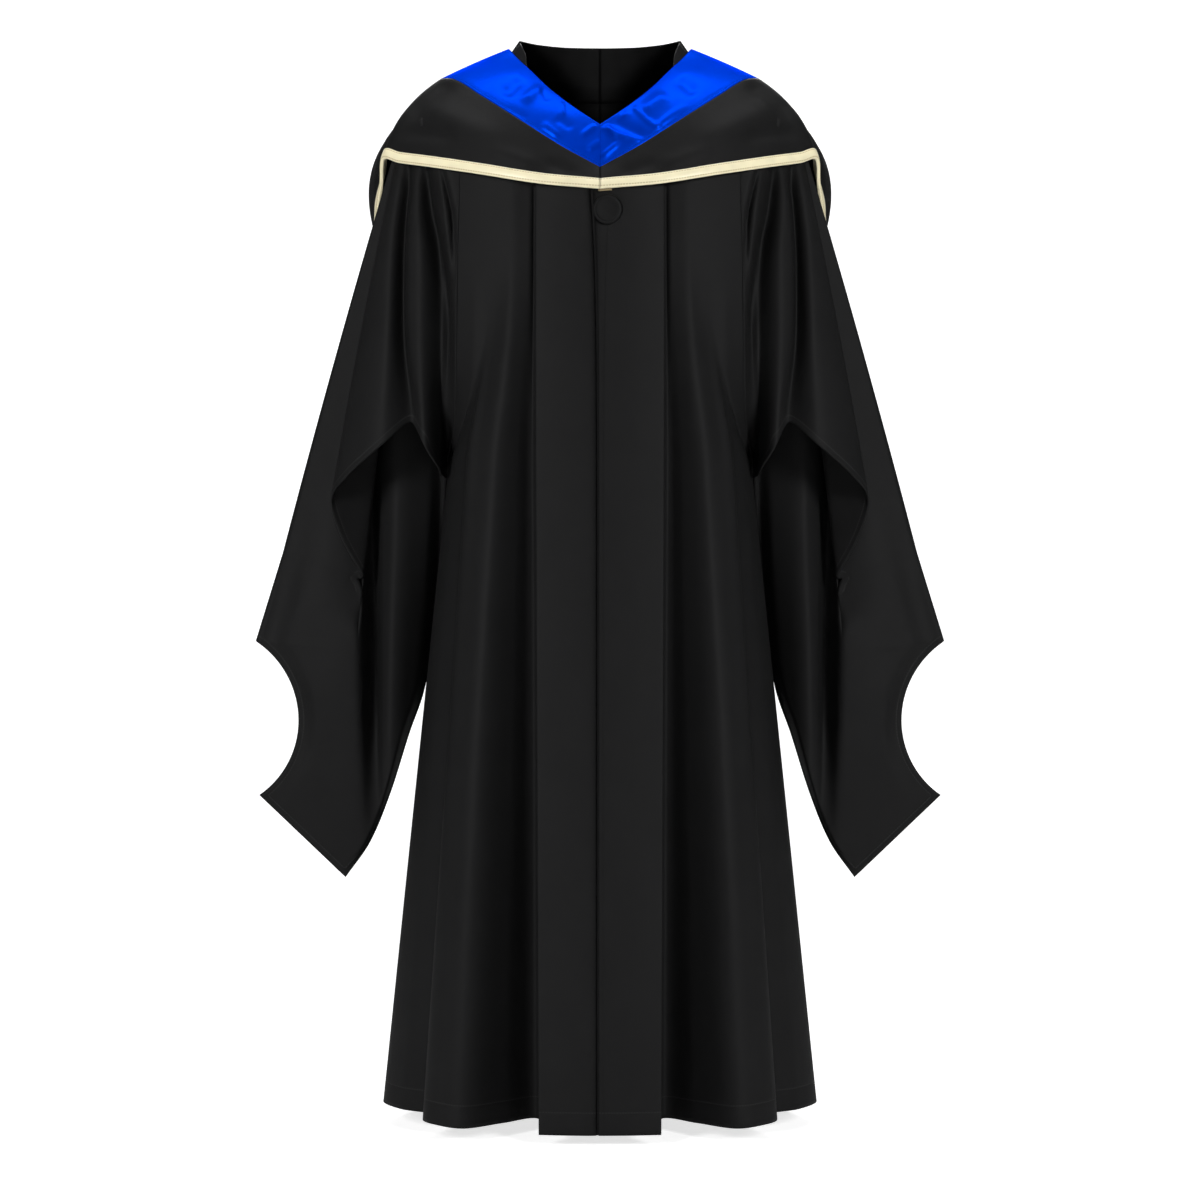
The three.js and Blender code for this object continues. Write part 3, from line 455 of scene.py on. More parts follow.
# %% Arithmetic on sockets
class Graph:
    """Adds nodes to a tree and joins them. Numbers and sockets may be mixed as inputs."""

    def __init__(self, tree):
        self.tree = tree

    def node(self, kind, inputs=(), **settings):
        """A node of a kind with its settings; each input is given a number or a link."""
        made = self.tree.nodes.new(kind)
        for key, value in settings.items():
            setattr(made, key, value)
        for key, value in dict(inputs).items():
            if isinstance(value, bpy.types.NodeSocket):
                self.tree.links.new(value, made.inputs[key])
            else:
                made.inputs[key].default_value = value
        return made

    def math(self, operation, a, b=0.0, c=0.0):
        """The result of one sum on up to three inputs."""
        return self.node("ShaderNodeMath", {0: a, 1: b, 2: c}, operation=operation).outputs[0]

    def spread(self, value, low, high, to_low=0.0, to_high=1.0):
        """value from low to high becomes to_low to to_high, eased at both ends."""
        inputs = {"Value": value, "From Min": low, "From Max": high, "To Min": to_low, "To Max": to_high}
        return self.node("ShaderNodeMapRange", inputs, interpolation_type="SMOOTHSTEP").outputs["Result"]

    def noise(self, vector, scale, detail=2.0):
        """Cloudy noise from 0 to 1, with scale clouds a metre."""
        inputs = {"Vector": vector, "Scale": scale, "Detail": detail, "Roughness": 0.55}
        return self.node("ShaderNodeTexNoise", inputs).outputs["Fac"]


def effect(name, inputs, outputs):
    """A new node group with named float sockets, and its graph, input sockets and output node."""
    tree = bpy.data.node_groups.new(name, "ShaderNodeTree")
    for key, default in inputs.items():
        kind = "NodeSocketVector" if default is None else "NodeSocketFloat"
        socket = tree.interface.new_socket(key, in_out="INPUT", socket_type=kind)
        if default is not None:
            socket.default_value = default
    for key in outputs:
        tree.interface.new_socket(key, in_out="OUTPUT", socket_type="NodeSocketFloat")
    graph = Graph(tree)
    return graph, graph.node("NodeGroupInput").outputs, graph.node("NodeGroupOutput").inputs


# %% [markdown]
# Twill is woven with diagonal ribs, about one each millimetre. Satin hides its ribs, and shows only fine
# threads that lie one way. Both are sine waves across the flat cut, so they follow the cloth wherever it
# hangs.

# %% Weave, stitches and unevenness
TAU = 2 * math.pi

graph, given, result = effect("weave", {"Cut": None, "Pitch": 0.0012, "Slant": 1.0}, ["Height"])
place = graph.node("ShaderNodeSeparateXYZ", {"Vector": given["Cut"]}).outputs
turns = graph.math("DIVIDE", TAU, given["Pitch"])
slanted = graph.math("MULTIPLY_ADD", place["Y"], given["Slant"], place["X"])
ribs = graph.math("SINE", graph.math("MULTIPLY", slanted, turns))
threads = graph.math("SINE", graph.math("MULTIPLY", place["Y"], graph.math("MULTIPLY", turns, 2.0)))
graph.tree.links.new(graph.math("MULTIPLY_ADD", threads, 0.35, ribs), result["Height"])

graph, given, result = effect(
    "stitches", {"Along": 0.0, "Aside": 0.0, "Length": 0.003, "Width": 0.0007}, ["Thread", "Height"]
)
near = graph.math("ABSOLUTE", given["Aside"])
line = graph.spread(near, graph.math("MULTIPLY", given["Width"], 0.5), given["Width"], 1.0, 0.0)
dash = graph.math("PINGPONG", given["Along"], graph.math("MULTIPLY", given["Length"], 0.5))
share = graph.math("DIVIDE", dash, given["Length"])
thread = graph.math("MULTIPLY", line, graph.spread(share, 0.06, 0.16))
ditch = graph.spread(near, 0.0, graph.math("MULTIPLY", given["Width"], 5.0), -1.0, 0.0)
graph.tree.links.new(thread, result["Thread"])
graph.tree.links.new(graph.math("MULTIPLY_ADD", thread, 0.8, ditch), result["Height"])

graph, given, result = effect("unevenness", {"Place": None, "Size": 0.05, "Amount": 0.1}, ["Shade", "Height"])
scale = graph.math("DIVIDE", 1.0, given["Size"])
coarse = graph.noise(given["Place"], scale, 3.0)
shade = graph.math("MULTIPLY", graph.math("SUBTRACT", coarse, 0.5), given["Amount"])
graph.tree.links.new(graph.math("MULTIPLY_ADD", shade, 2.0, 1.0), result["Shade"])
graph.tree.links.new(coarse, result["Height"])
print("effects:", [tree.name for tree in bpy.data.node_groups])

# %% [markdown]
# The gown is a matt black twill. Stitched hems run a set distance from its edges, which the mesh's second
# map gives: how far along the edge, and how far from it. The satin is smoother and catches light on its
# creases. A little metal in it tints that light blue, which a plain gloss can't. The ribbon is a cream
# satin with a row of stitches near each edge.

# %% Materials
STITCH, STITCH_WIDTH, STITCH_HEIGHT = 0.003, 0.0008, 0.0004


def cloth_material(name, colour, roughness, specular, weave, uneven, stitched=(), thread=(1, 1, 1), bump=0.5):
    """A cloth: its colour with unevenness, a weave as a bump, and rows of stitches beside its edge.

    weave is pitch, slant and height, and uneven is size, amount and height, all in metres but the slant and
    the amount."""
    material = bpy.data.materials.new(name)
    material.use_nodes = True
    graph = Graph(material.node_tree)
    shader = material.node_tree.nodes["Principled BSDF"]
    shader.inputs["Roughness"].default_value = roughness
    shader.inputs["Specular IOR Level"].default_value = specular
    cut = graph.node("ShaderNodeUVMap", uv_map="cut").outputs["UV"]
    place = graph.node("ShaderNodeTexCoord").outputs["Object"]

    def put(kind, inputs):
        """One of the groups placed in this material with this cloth's values."""
        node = graph.node("ShaderNodeGroup", node_tree=bpy.data.node_groups[kind])
        for key, value in inputs.items():
            if isinstance(value, bpy.types.NodeSocket):
                material.node_tree.links.new(value, node.inputs[key])
            else:
                node.inputs[key].default_value = value
        return node.outputs

    woven = put("weave", {"Cut": cut, "Pitch": weave[0], "Slant": weave[1]})["Height"]
    worn = put("unevenness", {"Place": place, "Size": uneven[0], "Amount": uneven[1]})
    shade = worn["Shade"]
    height = graph.math("MULTIPLY", woven, weave[2])
    height = graph.math("MULTIPLY_ADD", worn["Height"], uneven[2], height)
    colour_now = graph.node("ShaderNodeVectorMath", {0: colour, "Scale": shade}, operation="SCALE").outputs[0]
    if stitched:
        hem = graph.node("ShaderNodeUVMap", uv_map="hem").outputs["UV"]
        edge = graph.node("ShaderNodeSeparateXYZ", {"Vector": hem}).outputs
        for distance in stitched:
            aside = graph.math("SUBTRACT", edge["Y"], distance)
            inputs = {"Along": edge["X"], "Aside": aside, "Length": STITCH, "Width": STITCH_WIDTH}
            row = put("stitches", inputs)
            height = graph.math("MULTIPLY_ADD", row["Height"], STITCH_HEIGHT, height)
            colour_now = graph.node(
                "ShaderNodeMix", {"Factor": row["Thread"], 6: colour_now, 7: (*thread, 1)}, data_type="RGBA"
            ).outputs[2]
    bumped = graph.node("ShaderNodeBump", {"Height": height, "Strength": bump, "Distance": 1.0})
    material.node_tree.links.new(colour_now, shader.inputs["Base Color"])
    material.node_tree.links.new(bumped.outputs["Normal"], shader.inputs["Normal"])
    return material


# Weaves: pitch, slant and height. Unevenness: size, amount and height. Hems: distances from the edge.
BLACK_COLOUR, BLACK_ROUGHNESS, BLACK_SPECULAR = (0.0105, 0.0105, 0.0107), 0.58, 0.08
BLACK_THREAD = (0.02, 0.02, 0.02)
TWILL = (0.0011, 1.0, 0.00003)
SATIN_THREADS = (0.0006, 0.1, 0.00001)
RIBBON_THREADS = (0.0008, 0.0, 0.00001)
SOFT = (0.035, 0.12, 0.0012)
WIDE_HEM, NARROW_HEM, SATIN_SEAM, RIBBON_SEAMS = (0.0235,), (0.0065,), (0.003,), (0.0014, 0.0096)


def black(name, stitched=(), bump=0.5):
    """The gown's black twill, with rows of stitches at distances from the edge."""
    look = (BLACK_COLOUR, BLACK_ROUGHNESS, BLACK_SPECULAR, TWILL, SOFT)
    return cloth_material(name, *look, stitched, BLACK_THREAD, bump)


BLACK = black("black cloth")
BLACK_HEM = black("black cloth with a wide hem", WIDE_HEM)
BLACK_EDGE = black("black cloth with a narrow hem", NARROW_HEM)
SATIN = cloth_material("blue satin", (0.0, 0.048, 0.65), 0.36, 0.0, SATIN_THREADS, (0.03, 0.1, 0.001),
                       SATIN_SEAM, (0.0, 0.04, 0.5))
RIBBON = cloth_material("cream ribbon", (0.97, 0.89, 0.61), 0.3, 0.35, RIBBON_THREADS, (0.018, 0.12, 0.0018),
                        RIBBON_SEAMS, (0.7, 0.6, 0.36))
TAN = cloth_material("tan loop", (0.3, 0.24, 0.13), 0.6, 0.3, TWILL, SOFT, bump=0.3)
COVERED = black("covered button", bump=0.3)
SATIN.node_tree.nodes["Principled BSDF"].inputs["Metallic"].default_value = 0.3
SATIN.node_tree.nodes["Principled BSDF"].inputs["Specular Tint"].default_value = (0.0, 0.2, 1.0, 1)
print("materials:", [material.name for material in bpy.data.materials])

# %% [markdown]
# Creases are laid over a panel one by one. A soft one is a row of a table: a straight line as the photograph
# shows it, from end to end, with a width and a height, which is below 0 for a trough. A deep groove between
# two folds bends on its way down and is steeper on one side, so it has a table of its own, with a row for
# each height. Simulated cloth would make other folds than those of the photograph.

# %% Creases from tables
def creases(table, x, z):
    """Sum of rounded ridges. Each falls off as a bell away from its line, and fades over its end thirds."""
    height = np.zeros(np.broadcast(x, z).shape)
    for x0, z0, x1, z1, width, rise in table:
        run = np.array([x1 - x0, z1 - z0], float)
        along = ((x - x0) * run[0] + (z - z0) * run[1]) / (run @ run)
        aside = ((x - x0) * run[1] - (z - z0) * run[0]) / np.sqrt(run @ run)
        ends = ease(along, -0.05, 0.3) * (1 - ease(along, 0.7, 1.05))
        height = height + rise * ends * np.exp(-((aside / width) ** 2))
    return height


def grooves(table, x, z):
    """Sum of rounded troughs that bend. Each falls off with the square of the distance to its bottom.

    Its rows run down it: z, x of its bottom, width to the outer side, width to the inner side, depth."""
    depth = np.zeros(np.broadcast(x, z).shape)
    for rows in table:
        rows = np.array(rows, float)[::-1]
        at = through(rows[:, 0], rows[:, 1:], z)
        width = np.where(x < at[..., 0], at[..., 1], at[..., 2])
        depth = depth + at[..., 3] * np.exp(-(((x - at[..., 0]) / width) ** 2))
    return depth


print("height in the middle of a crease:", creases([(0, 0, 0, -10, 2, 1.5)], 0.0, -5.0))

# %% [markdown]
# The gown's front is cut as two panels, gathered a little under the hood. Below the hood each falls in one
# broad lobe beside the band, with a trough on each side of it, and turns back to the side seam. The trough
# is at its deepest near the waist, and a sharp line of shade runs all the way down beside the band.

# %% Front panels
# Creases: x0, z0, x1, z1, width, rise. Grooves: z, x of the bottom, outer width, inner width, depth.
FRONT_CREASES = [
    (-94, -190, -99, -430, 8, 0.8),
    (-118, -200, -124, -560, 10, -1.0),
    (-133, -230, -137, -430, 6, 0.8),
    (-128, -560, -150, -1000, 12, 1.2),
]
FRONT_GROOVES = [
    [(-150, -69, 6, 8, 0), (-220, -69, 7, 8, 1.5), (-300, -70, 10, 8, 6), (-400, -70, 14, 8, 9),
     (-500, -70, 16, 8, 7), (-678, -70, 20, 8, 4), (-900, -70, 24, 8, 0)],
    [(-118, -70, 2.6, 6, 0), (-140, -70, 2.6, 6, 4), (-400, -70, 3, 6, 4), (-700, -69, 3, 6, 3.5),
     (-1128, -67, 3, 6, 3)],
]


def front_panel(side):
    """The front panel: its two surfaces in one grid, moved forwards by its creases less its grooves.

    The grooves leave the edge behind the band alone, and both fade out under the hood."""
    last_fold, columns, top_rows, low_rows = 9, 11, 36, 230
    fold = np.linspace(0, last_fold, last_fold * columns + 1)
    share = by_fold(FRONT_SHARE, fold)
    top = front_top(steps(top_rows)[:-1, None], share[None])
    low = front_low(fold[None], steps(low_rows)[:, None])
    points = np.concatenate([top, low])
    uv = flat_map(points)
    push = creases(FRONT_CREASES, points[..., 0], points[..., 2])
    push = push - grooves(FRONT_GROOVES, points[..., 0], points[..., 2]) * ease(fold, 0.5, 1.5)
    points[..., 1] -= push * ease(-points[..., 2], 60, 150)
    return points, grid(points), uv


FRONTS = both_halves("front", front_panel, BLACK_HEM, FORWARD)

# %% [markdown]
# The back hangs from a yoke across the shoulders, in long flutes, which are made by gathering a wide panel
# into the yoke's seam. Through the neck one sees the yoke's two halves and the seam between them.

# %% Yoke and back
def yoke_panel(side):
    """Half the yoke: the gown's surface from the neck edge down to the yoke's foot."""
    past_ridge, lap, columns, rows = 0.001, 0.004, 60, 28
    turn = mix(RIDGE + past_ridge, 1, steps(columns))
    points = gown_surface(turn[None], mix(-1, yoke_foot(turn)[None] + lap, steps(rows)[:, None]))
    return points, grid(points), flat_map(points)


def back_panel(side):
    """Half the back: its surface at 9 columns to a fold."""
    last_fold, columns, rows = 9, 9, 150
    fold = np.linspace(0, last_fold, last_fold * columns + 1)
    points = back_low(fold[None], steps(rows)[:, None])
    return points, grid(points), flat_map(points)


YOKES = both_halves("yoke", yoke_panel, BLACK, BACK_AND_UP)
BACKS = both_halves("back", back_panel, BLACK_HEM, BACKWARD)

# %% [markdown]
# The sleeve is a long closed bag. The arm comes out of a slit in its front at the elbow, and the rest hangs
# down to a point, with a crescent cut from its outer edge. Its outline is a straight edge, an arc and a
# smooth curve, which the front and the back share.

# %% The sleeve's outline
# The cut's corners, x, y, z, and the arc's depth. The crescent starts at this share of the outer edge's way.
SLIT_CORNER = np.array([-349, 5, -520.0])
FOOT_Y = 3
CRESCENT_TOP = np.array([-379, 5, -617.0])
CRESCENT_FOOT = np.array([-375, FOOT_Y, -786.5])
CRESCENT_DEPTH = 45
CRESCENT_START = 0.36
INNER_WAY = [0.0, 0.14, 0.3, 0.46, 0.58, 0.76, 0.9, 1.0]
INNER_EDGE = [(-168, 12, -437), (-174, 28, -520), (-183, 38, -600), (-196, 38, -672), (-212, 32, -719),
              (-233, 20, -787), (-254, 10, -839), (-280, FOOT_Y, -877)]


def outer_edge(way):
    """The sleeve's outer edge below the slit: straight to the first corner, then round the crescent's arc.

    The arc's radius is the half chord squared plus the depth squared, over twice the depth."""
    way = np.asarray(way, float)[..., None]
    straight = mix(SLIT_CORNER, CRESCENT_TOP, way / CRESCENT_START)
    half = np.linalg.norm(CRESCENT_TOP - CRESCENT_FOOT) / 2
    radius = (half**2 + CRESCENT_DEPTH**2) / (2 * CRESCENT_DEPTH)
    reach = math.asin(half / radius)
    angle = mix(-reach, reach, (way - CRESCENT_START) / (1 - CRESCENT_START))
    arc = mix(CRESCENT_TOP, CRESCENT_FOOT, 0.5 + np.sin(angle) / (2 * math.sin(reach)))
    arc = arc + radius * (np.cos(angle) - math.cos(reach)) * np.array([1, 0, 0])
    return np.where(way <= CRESCENT_START, straight, arc)


def inner_edge(way):
    """The sleeve's inner edge below the armhole, down to its foot."""
    return through(INNER_WAY, INNER_EDGE, way)


print("outer edge at the crescent's corner:", outer_edge(np.array(CRESCENT_START)).round(1))

# %% [markdown]
# Above the slit the sleeve hangs from the armhole in three deep folds. Each fold line has a row: where on
# the armhole it starts, where it passes the cape's edge and how deep it lies there, how much it bows
# outwards on the way, and where it meets the slit's upper lip.

# %% The sleeve above the slit
SLEEVE_START = [0.0, 0.06, 0.1, 0.13, 0.18, 0.23, 0.29, 0.36, 0.44, 0.54, 0.66, 0.78, 0.9, 1.0]
SLEEVE_TURN = [0.5, 0.489, 0.479, 0.472, 0.465, 0.466, 0.476, 0.462, 0.448, 0.428, 0.4, 0.37, 0.338, 0.305]
SLEEVE_SINK = [4, 9, 11, 15.5, 13.5, 8, 2.5, 0, 0, 3, 0, 2, 0, 0]
SLEEVE_BOW = [2, 0, 0, 0, 0, 0, 2, 2, 3, 10, 4, 0, 0, 0]
SLEEVE_HEM = [SLIT_CORNER, (-303, -9, -535), (-267, -7, -548), (-260, -7, -546), (-263, -14, -541),
              (-282, -31, -503), (-291, -46, -464), (-272, -68, -439), (-234, -84, -407), (-203.5, -70, -384),
              (-186, -83, -411), (-174, -62, -430), (-172, -38, -436), (-169, 4, -438)]
# The lip rises to a point at one fold line, and the panel's edge lies this far outside the seam.
PEAK_FOLD, PEAK_HEIGHT, PEAK_WIDTH = 9, 4, 0.28
LAST_FOLD = 13
BESIDE_SEAM = 0.4


def sleeve_head_point(fold, way):
    """The sleeve under the hood: straight from the armhole to the cape's edge, sunk in at the folds."""
    lap_turn, lap_across = 0.005, 0.025
    start = by_fold(SLEEVE_START, fold)
    turn, across = sleeve_head(start)
    turn = turn + lap_turn * start
    across = across + lap_across * (1 - start)
    p = gown_surface(mix(turn, by_fold(SLEEVE_TURN, fold), way), mix(across, 2, way))
    inward = unit(p * np.array([-1, -1, 0]))
    return p + inward * (by_fold(SLEEVE_SINK, fold) * way)[..., None]


def sleeve_upper(fold, way):
    """The upper sleeve: straight from the cape's edge to the slit's upper lip, bowed by 4 s (1 - s).

    The last folds follow the armhole's seam instead."""
    fold, way = np.broadcast_arrays(np.asarray(fold, float), np.asarray(way, float))
    start = by_fold(SLEEVE_START, fold)
    end = by_fold(SLEEVE_HEM, fold)
    end[..., 2] += PEAK_HEIGHT * np.exp(-np.abs(fold - PEAK_FOLD) / PEAK_WIDTH)
    p = mix(sleeve_head_point(fold, np.ones_like(way)), end, way[..., None])
    p[..., 0] -= 4 * by_fold(SLEEVE_BOW, fold) * way * (1 - way)
    seam = armhole(SCYE_FRONT, np.maximum(p[..., 2], UNDERARM))
    near = ease(start, 0.7, 1)
    fade = np.where(near < 1, 1 - ease(way, 0.75, 1), 1)
    p[..., 1] = mix(p[..., 1], seam[..., 1], near * fade)
    at_seam = mix(seam[..., 0] - BESIDE_SEAM, end[..., 0], ease(way, 0.85, 1))
    p[..., 0] = mix(p[..., 0], at_seam, ease(fold, LAST_FOLD - 0.4, LAST_FOLD))
    return p


print("the slit's peak:", sleeve_upper(PEAK_FOLD, 1).round(1))

# %% [markdown]
# Below the slit the folds of the lower lip run down and fade into the flat foot. The lip's points give
# where the folds start. Further down, a fold line is a share of the way from the outer to the inner edge,
# and its depth is read from a table at three heights.

# %% The sleeve below the slit
LOWER_LIP = [SLIT_CORNER, (-303, -9, -535), (-267, -7, -548), (-260, -4, -551), (-256, 18, -412),
             (-249, 21, -400), (-239, 4, -388), (-221, -13, -366), (-192, -4, -372), (-169.5, 11, -437)]
LOWER_AT_MID = [0, 0.3, 0.56, 0.59, 0.635, 0.68, 0.745, 0.82, 0.92, 1]
LOWER_AT_FOOT = [0, 0.3, 0.52, 0.57, 0.61, 0.68, 0.76, 0.84, 0.93, 1]
LOWER_MID = 0.42
LOWER_LAST = 9
# For the depth: x of each fold line at the two heights of LINE_HEIGHTS, and its depth at DEPTH_HEIGHTS.
LINE_HEIGHTS = (-400, -840)
LOWER_LINE = [(-312, -448), (-296, -330), (-270, -272), (-263, -261), (-257, -252), (-249, -244),
              (-239, -238), (-221, -231), (-192, -222), (-162, -206)]
DEPTH_HEIGHTS = [-420, -620, -820]
LOWER_DEPTH = [(4, 4, 4), (-8, -9, -5), (-8, -15, -9), (-2, -10, -6), (18, 16, 7), (21, 19, 9), (4, -2, 2),
               (-13, -11, -2), (-5, 3, 6), (10, 34, 22)]
LAYER = 2.8


def lower_depth(x, z):
    """Depth of the lower sleeve's front at a place seen from the front: a cubic between fold lines."""
    down = (LINE_HEIGHTS[0] - z) / (LINE_HEIGHTS[0] - LINE_HEIGHTS[1])
    depth = through(DEPTH_HEIGHTS, np.array(LOWER_DEPTH, float).T, z)
    lines = np.array(LOWER_LINE, float)
    at = mix(lines[:, 0], lines[:, 1], down[..., None])
    inside = np.clip(x, at[..., 0], at[..., -1])
    i = np.clip(np.sum(at <= inside[..., None], axis=-1) - 1, 0, len(lines) - 2)
    i = i[..., None]
    slopes = np.gradient(depth, axis=-1)
    x0, y0, slope0 = (np.take_along_axis(table, i, -1) for table in (at, depth, slopes))
    x1, y1, slope1 = (np.take_along_axis(table, i + 1, -1) for table in (at, depth, slopes))
    u = (inside[..., None] - x0) / (x1 - x0)
    v, w = u * u, u * u * u
    y = (2 * w - 3 * v + 1) * y0 + (3 * v - 2 * w) * y1 + (w - 2 * v + u) * slope0 + (w - v) * slope1
    return y[..., 0]


def lower_across(fold, way):
    """Where a fold line lies across the sleeve, as a share, on its way from the lip to the foot."""
    outer, inner = outer_edge(0), inner_edge(0)
    lip = (by_fold(LOWER_LIP, fold)[..., 0] - outer[0]) / (inner[0] - outer[0])
    middle, foot = by_fold(LOWER_AT_MID, fold), by_fold(LOWER_AT_FOOT, fold)
    high = mix(lip, middle, ease(way, 0, LOWER_MID))
    return np.where(way < LOWER_MID, high, mix(middle, foot, ease(way, LOWER_MID, 1)))


def sleeve_lower(fold, way):
    """The lower sleeve's front, from the lower lip (way 0) to the foot (1), where the folds fade."""
    fold, way = np.broadcast_arrays(np.asarray(fold, float), np.asarray(way, float))
    outer, inner = outer_edge(way), inner_edge(way)
    p = mix(outer, inner, lower_across(fold, way)[..., None])
    start = mix(outer_edge(0), inner_edge(0), lower_across(fold, np.zeros_like(way))[..., None])
    lip = by_fold(LOWER_LIP, fold)
    p[..., 2] += (lip[..., 2] - start[..., 2]) * (1 - ease(way, 0, LOWER_MID))
    from_lip = 1 - ease(way, 0, 0.3)
    folded = mix(mix(lower_depth(p[..., 0], p[..., 2]), lip[..., 1], from_lip), FOOT_Y, ease(way, 0.5, 1))
    edge = np.maximum(1 - fold, 0) + np.maximum(fold - (LOWER_LAST - 1), 0)
    p[..., 1] = mix(folded, p[..., 1], ease(edge, 0.3, 1)) - LAYER / 2
    return p


print("depth on the lip's fourth fold:", lower_depth(np.array([-256.0]), np.array([-430.0])).round(1))

# %% [markdown]
# The sleeve's front is one mesh. Its upper and lower parts share the cloth outside the slit's end, where
# the fold runs on, and are apart along the slit. The narrow deep grooves between the folds are pressed in
# last.

# %% Sleeve fronts
FINE = 9
SLIT_END = 2
# Grooves: z, x of the bottom, outer width, inner width, depth.
SLEEVE_GROOVES = [
    [(-95, -207, 8, 3, 6), (-125, -207, 8, 3, 14), (-141, -209, 8, 3.5, 16), (-190, -212, 9, 3.5, 17),
     (-273, -212, 9, 3.5, 15), (-315, -209, 9, 4, 12), (-350, -204, 10, 5, 8), (-376, -201, 10, 6, 3),
     (-400, -201, 10, 6, 0)],
    [(-95, -188, 8, 4, 6), (-120, -185, 9, 4, 16), (-155, -180, 11, 5, 22), (-184, -173, 12, 5, 25),
     (-222, -167, 13, 5, 26), (-264, -162, 14, 5, 26), (-295, -159, 14, 5, 24), (-340, -159, 14, 6, 18),
     (-380, -161, 14, 8, 8), (-410, -163, 14, 8, 0)],
    [(-100, -171, 4, 2.5, 3), (-130, -164, 4, 2.5, 8), (-160, -158, 4, 2.5, 10), (-200, -155, 4, 2.5, 8),
     (-250, -154, 4, 2.5, 0)],
]


def smooth_across(upper, lower, count):
    """Evens out the depth of the first columns where the upper part runs on into the lower one.

    Each round, a row's depth becomes half its own and a quarter of each neighbour's, near the join only."""
    reach, rounds = 26, 160
    depth = np.concatenate([upper[:, :count, 1], lower[:, :count, 1]])
    near = np.exp(-(((np.arange(len(depth)) - len(upper) + 0.5) / reach) ** 2))[:, None]
    near = near * (1 - ease(np.arange(count) / (count - 1), 0.7, 1))
    for _ in range(rounds):
        even = depth.copy()
        even[1:-1] = 0.25 * depth[:-2] + 0.5 * depth[1:-1] + 0.25 * depth[2:]
        depth = mix(depth, even, near)
    upper[:, :count, 1] = depth[: len(upper)]
    lower[:, :count, 1] = depth[len(upper):]


def sleeve_front(side):
    """The sleeve's front as one mesh: head, upper part, lower lip and lower part, with its hem's map.

    FINE columns make a fold, and the first SLIT_END folds of the lip use the upper part's vertices."""
    head_rows, upper_rows, lower_rows, border_points = 14, 100, 110, 200
    fold = np.linspace(0, LAST_FOLD, LAST_FOLD * FINE + 1)
    head = sleeve_head_point(fold[None], steps(head_rows)[:-1, None])
    upper = np.concatenate([head, sleeve_upper(fold[None], steps(upper_rows)[:, None])])
    free = ease(fold, 5.5, 7) * (1 - ease(fold, LAST_FOLD - 0.4, LAST_FOLD))
    upper[..., 1] += grooves(SLEEVE_GROOVES, upper[..., 0], upper[..., 2]) * free
    low_fold = np.linspace(0, LOWER_LAST, LOWER_LAST * FINE + 1)
    lower = sleeve_lower(low_fold[None], steps(lower_rows)[1:, None])
    lip = by_fold(LOWER_LIP, low_fold)
    shared = SLIT_END * FINE
    smooth_across(upper, lower, shared + 1)
    upper_index = np.arange(upper[..., 0].size).reshape(upper.shape[:2])
    first = upper_index.size
    lip_index = first + np.arange(len(lip))
    lip_index[: shared + 1] = upper_index[-1, : shared + 1]
    lower_index = first + len(lip) + np.arange(lower[..., 0].size).reshape(lower.shape[:2])
    lower_index = np.concatenate([lip_index[None], lower_index])
    points = np.concatenate([upper.reshape(-1, 3), lip, lower.reshape(-1, 3)])
    lower_uv = flat_map(np.concatenate([lip[None], lower]))
    uv = np.concatenate([flat_map(upper).reshape(-1, 2), lower_uv.reshape(-1, 2)])
    crescent = outer_edge(np.linspace(CRESCENT_START, 1, border_points))
    foot = mix(outer_edge(np.array(1.0)), inner_edge(np.array(1.0)), steps(80)[:, None])
    border = np.concatenate([crescent, foot, inner_edge(steps(border_points))[::-1], lip[shared:][::-1]])
    hem = np.concatenate([hem_map(upper, upper[-1, shared:]), hem_map(points[first:], border)])
    return points, np.concatenate([quads(upper_index), quads(lower_index)]), uv, hem


SLEEVE_FRONTS = both_halves("sleeve_front", sleeve_front, BLACK_EDGE, FORWARD)

# %% [markdown]
# The sleeve's back has the same outline and hangs plainly. It is filled out like a bag with an arm in it,
# with two soft folds, and flattens towards the foot, where the two layers are sewn together.

# %% Sleeve backs
HEAD_SHARE = 0.22
SCYE_TOP, SCYE_FOOT = -10, -437


def sleeve_back_edges(way):
    """The two edges of the sleeve's back: way 0 to 1 beside the armhole, and 1 to 2 below it."""
    zero = np.zeros_like(way)
    head = sleeve_head_point(zero, np.clip(way / HEAD_SHARE, 0, 1))
    beside = sleeve_upper(zero, np.clip((way - HEAD_SHARE) / (1 - HEAD_SHARE), 0, 1))
    upper = np.where((way < HEAD_SHARE)[..., None], head, beside)
    z = mix(SCYE_TOP, SCYE_FOOT, np.minimum(way, 1))
    seam = armhole(SCYE_BACK, np.maximum(z, UNDERARM))
    inner = xyz(seam[..., 0] - BESIDE_SEAM - 3 * ease(way, 0.9, 1), seam[..., 1], z)
    is_below = (way > 1)[..., None]
    below = np.clip(way - 1, 0, 1)
    return np.where(is_below, outer_edge(below), upper), np.where(is_below, inner_edge(below), inner)


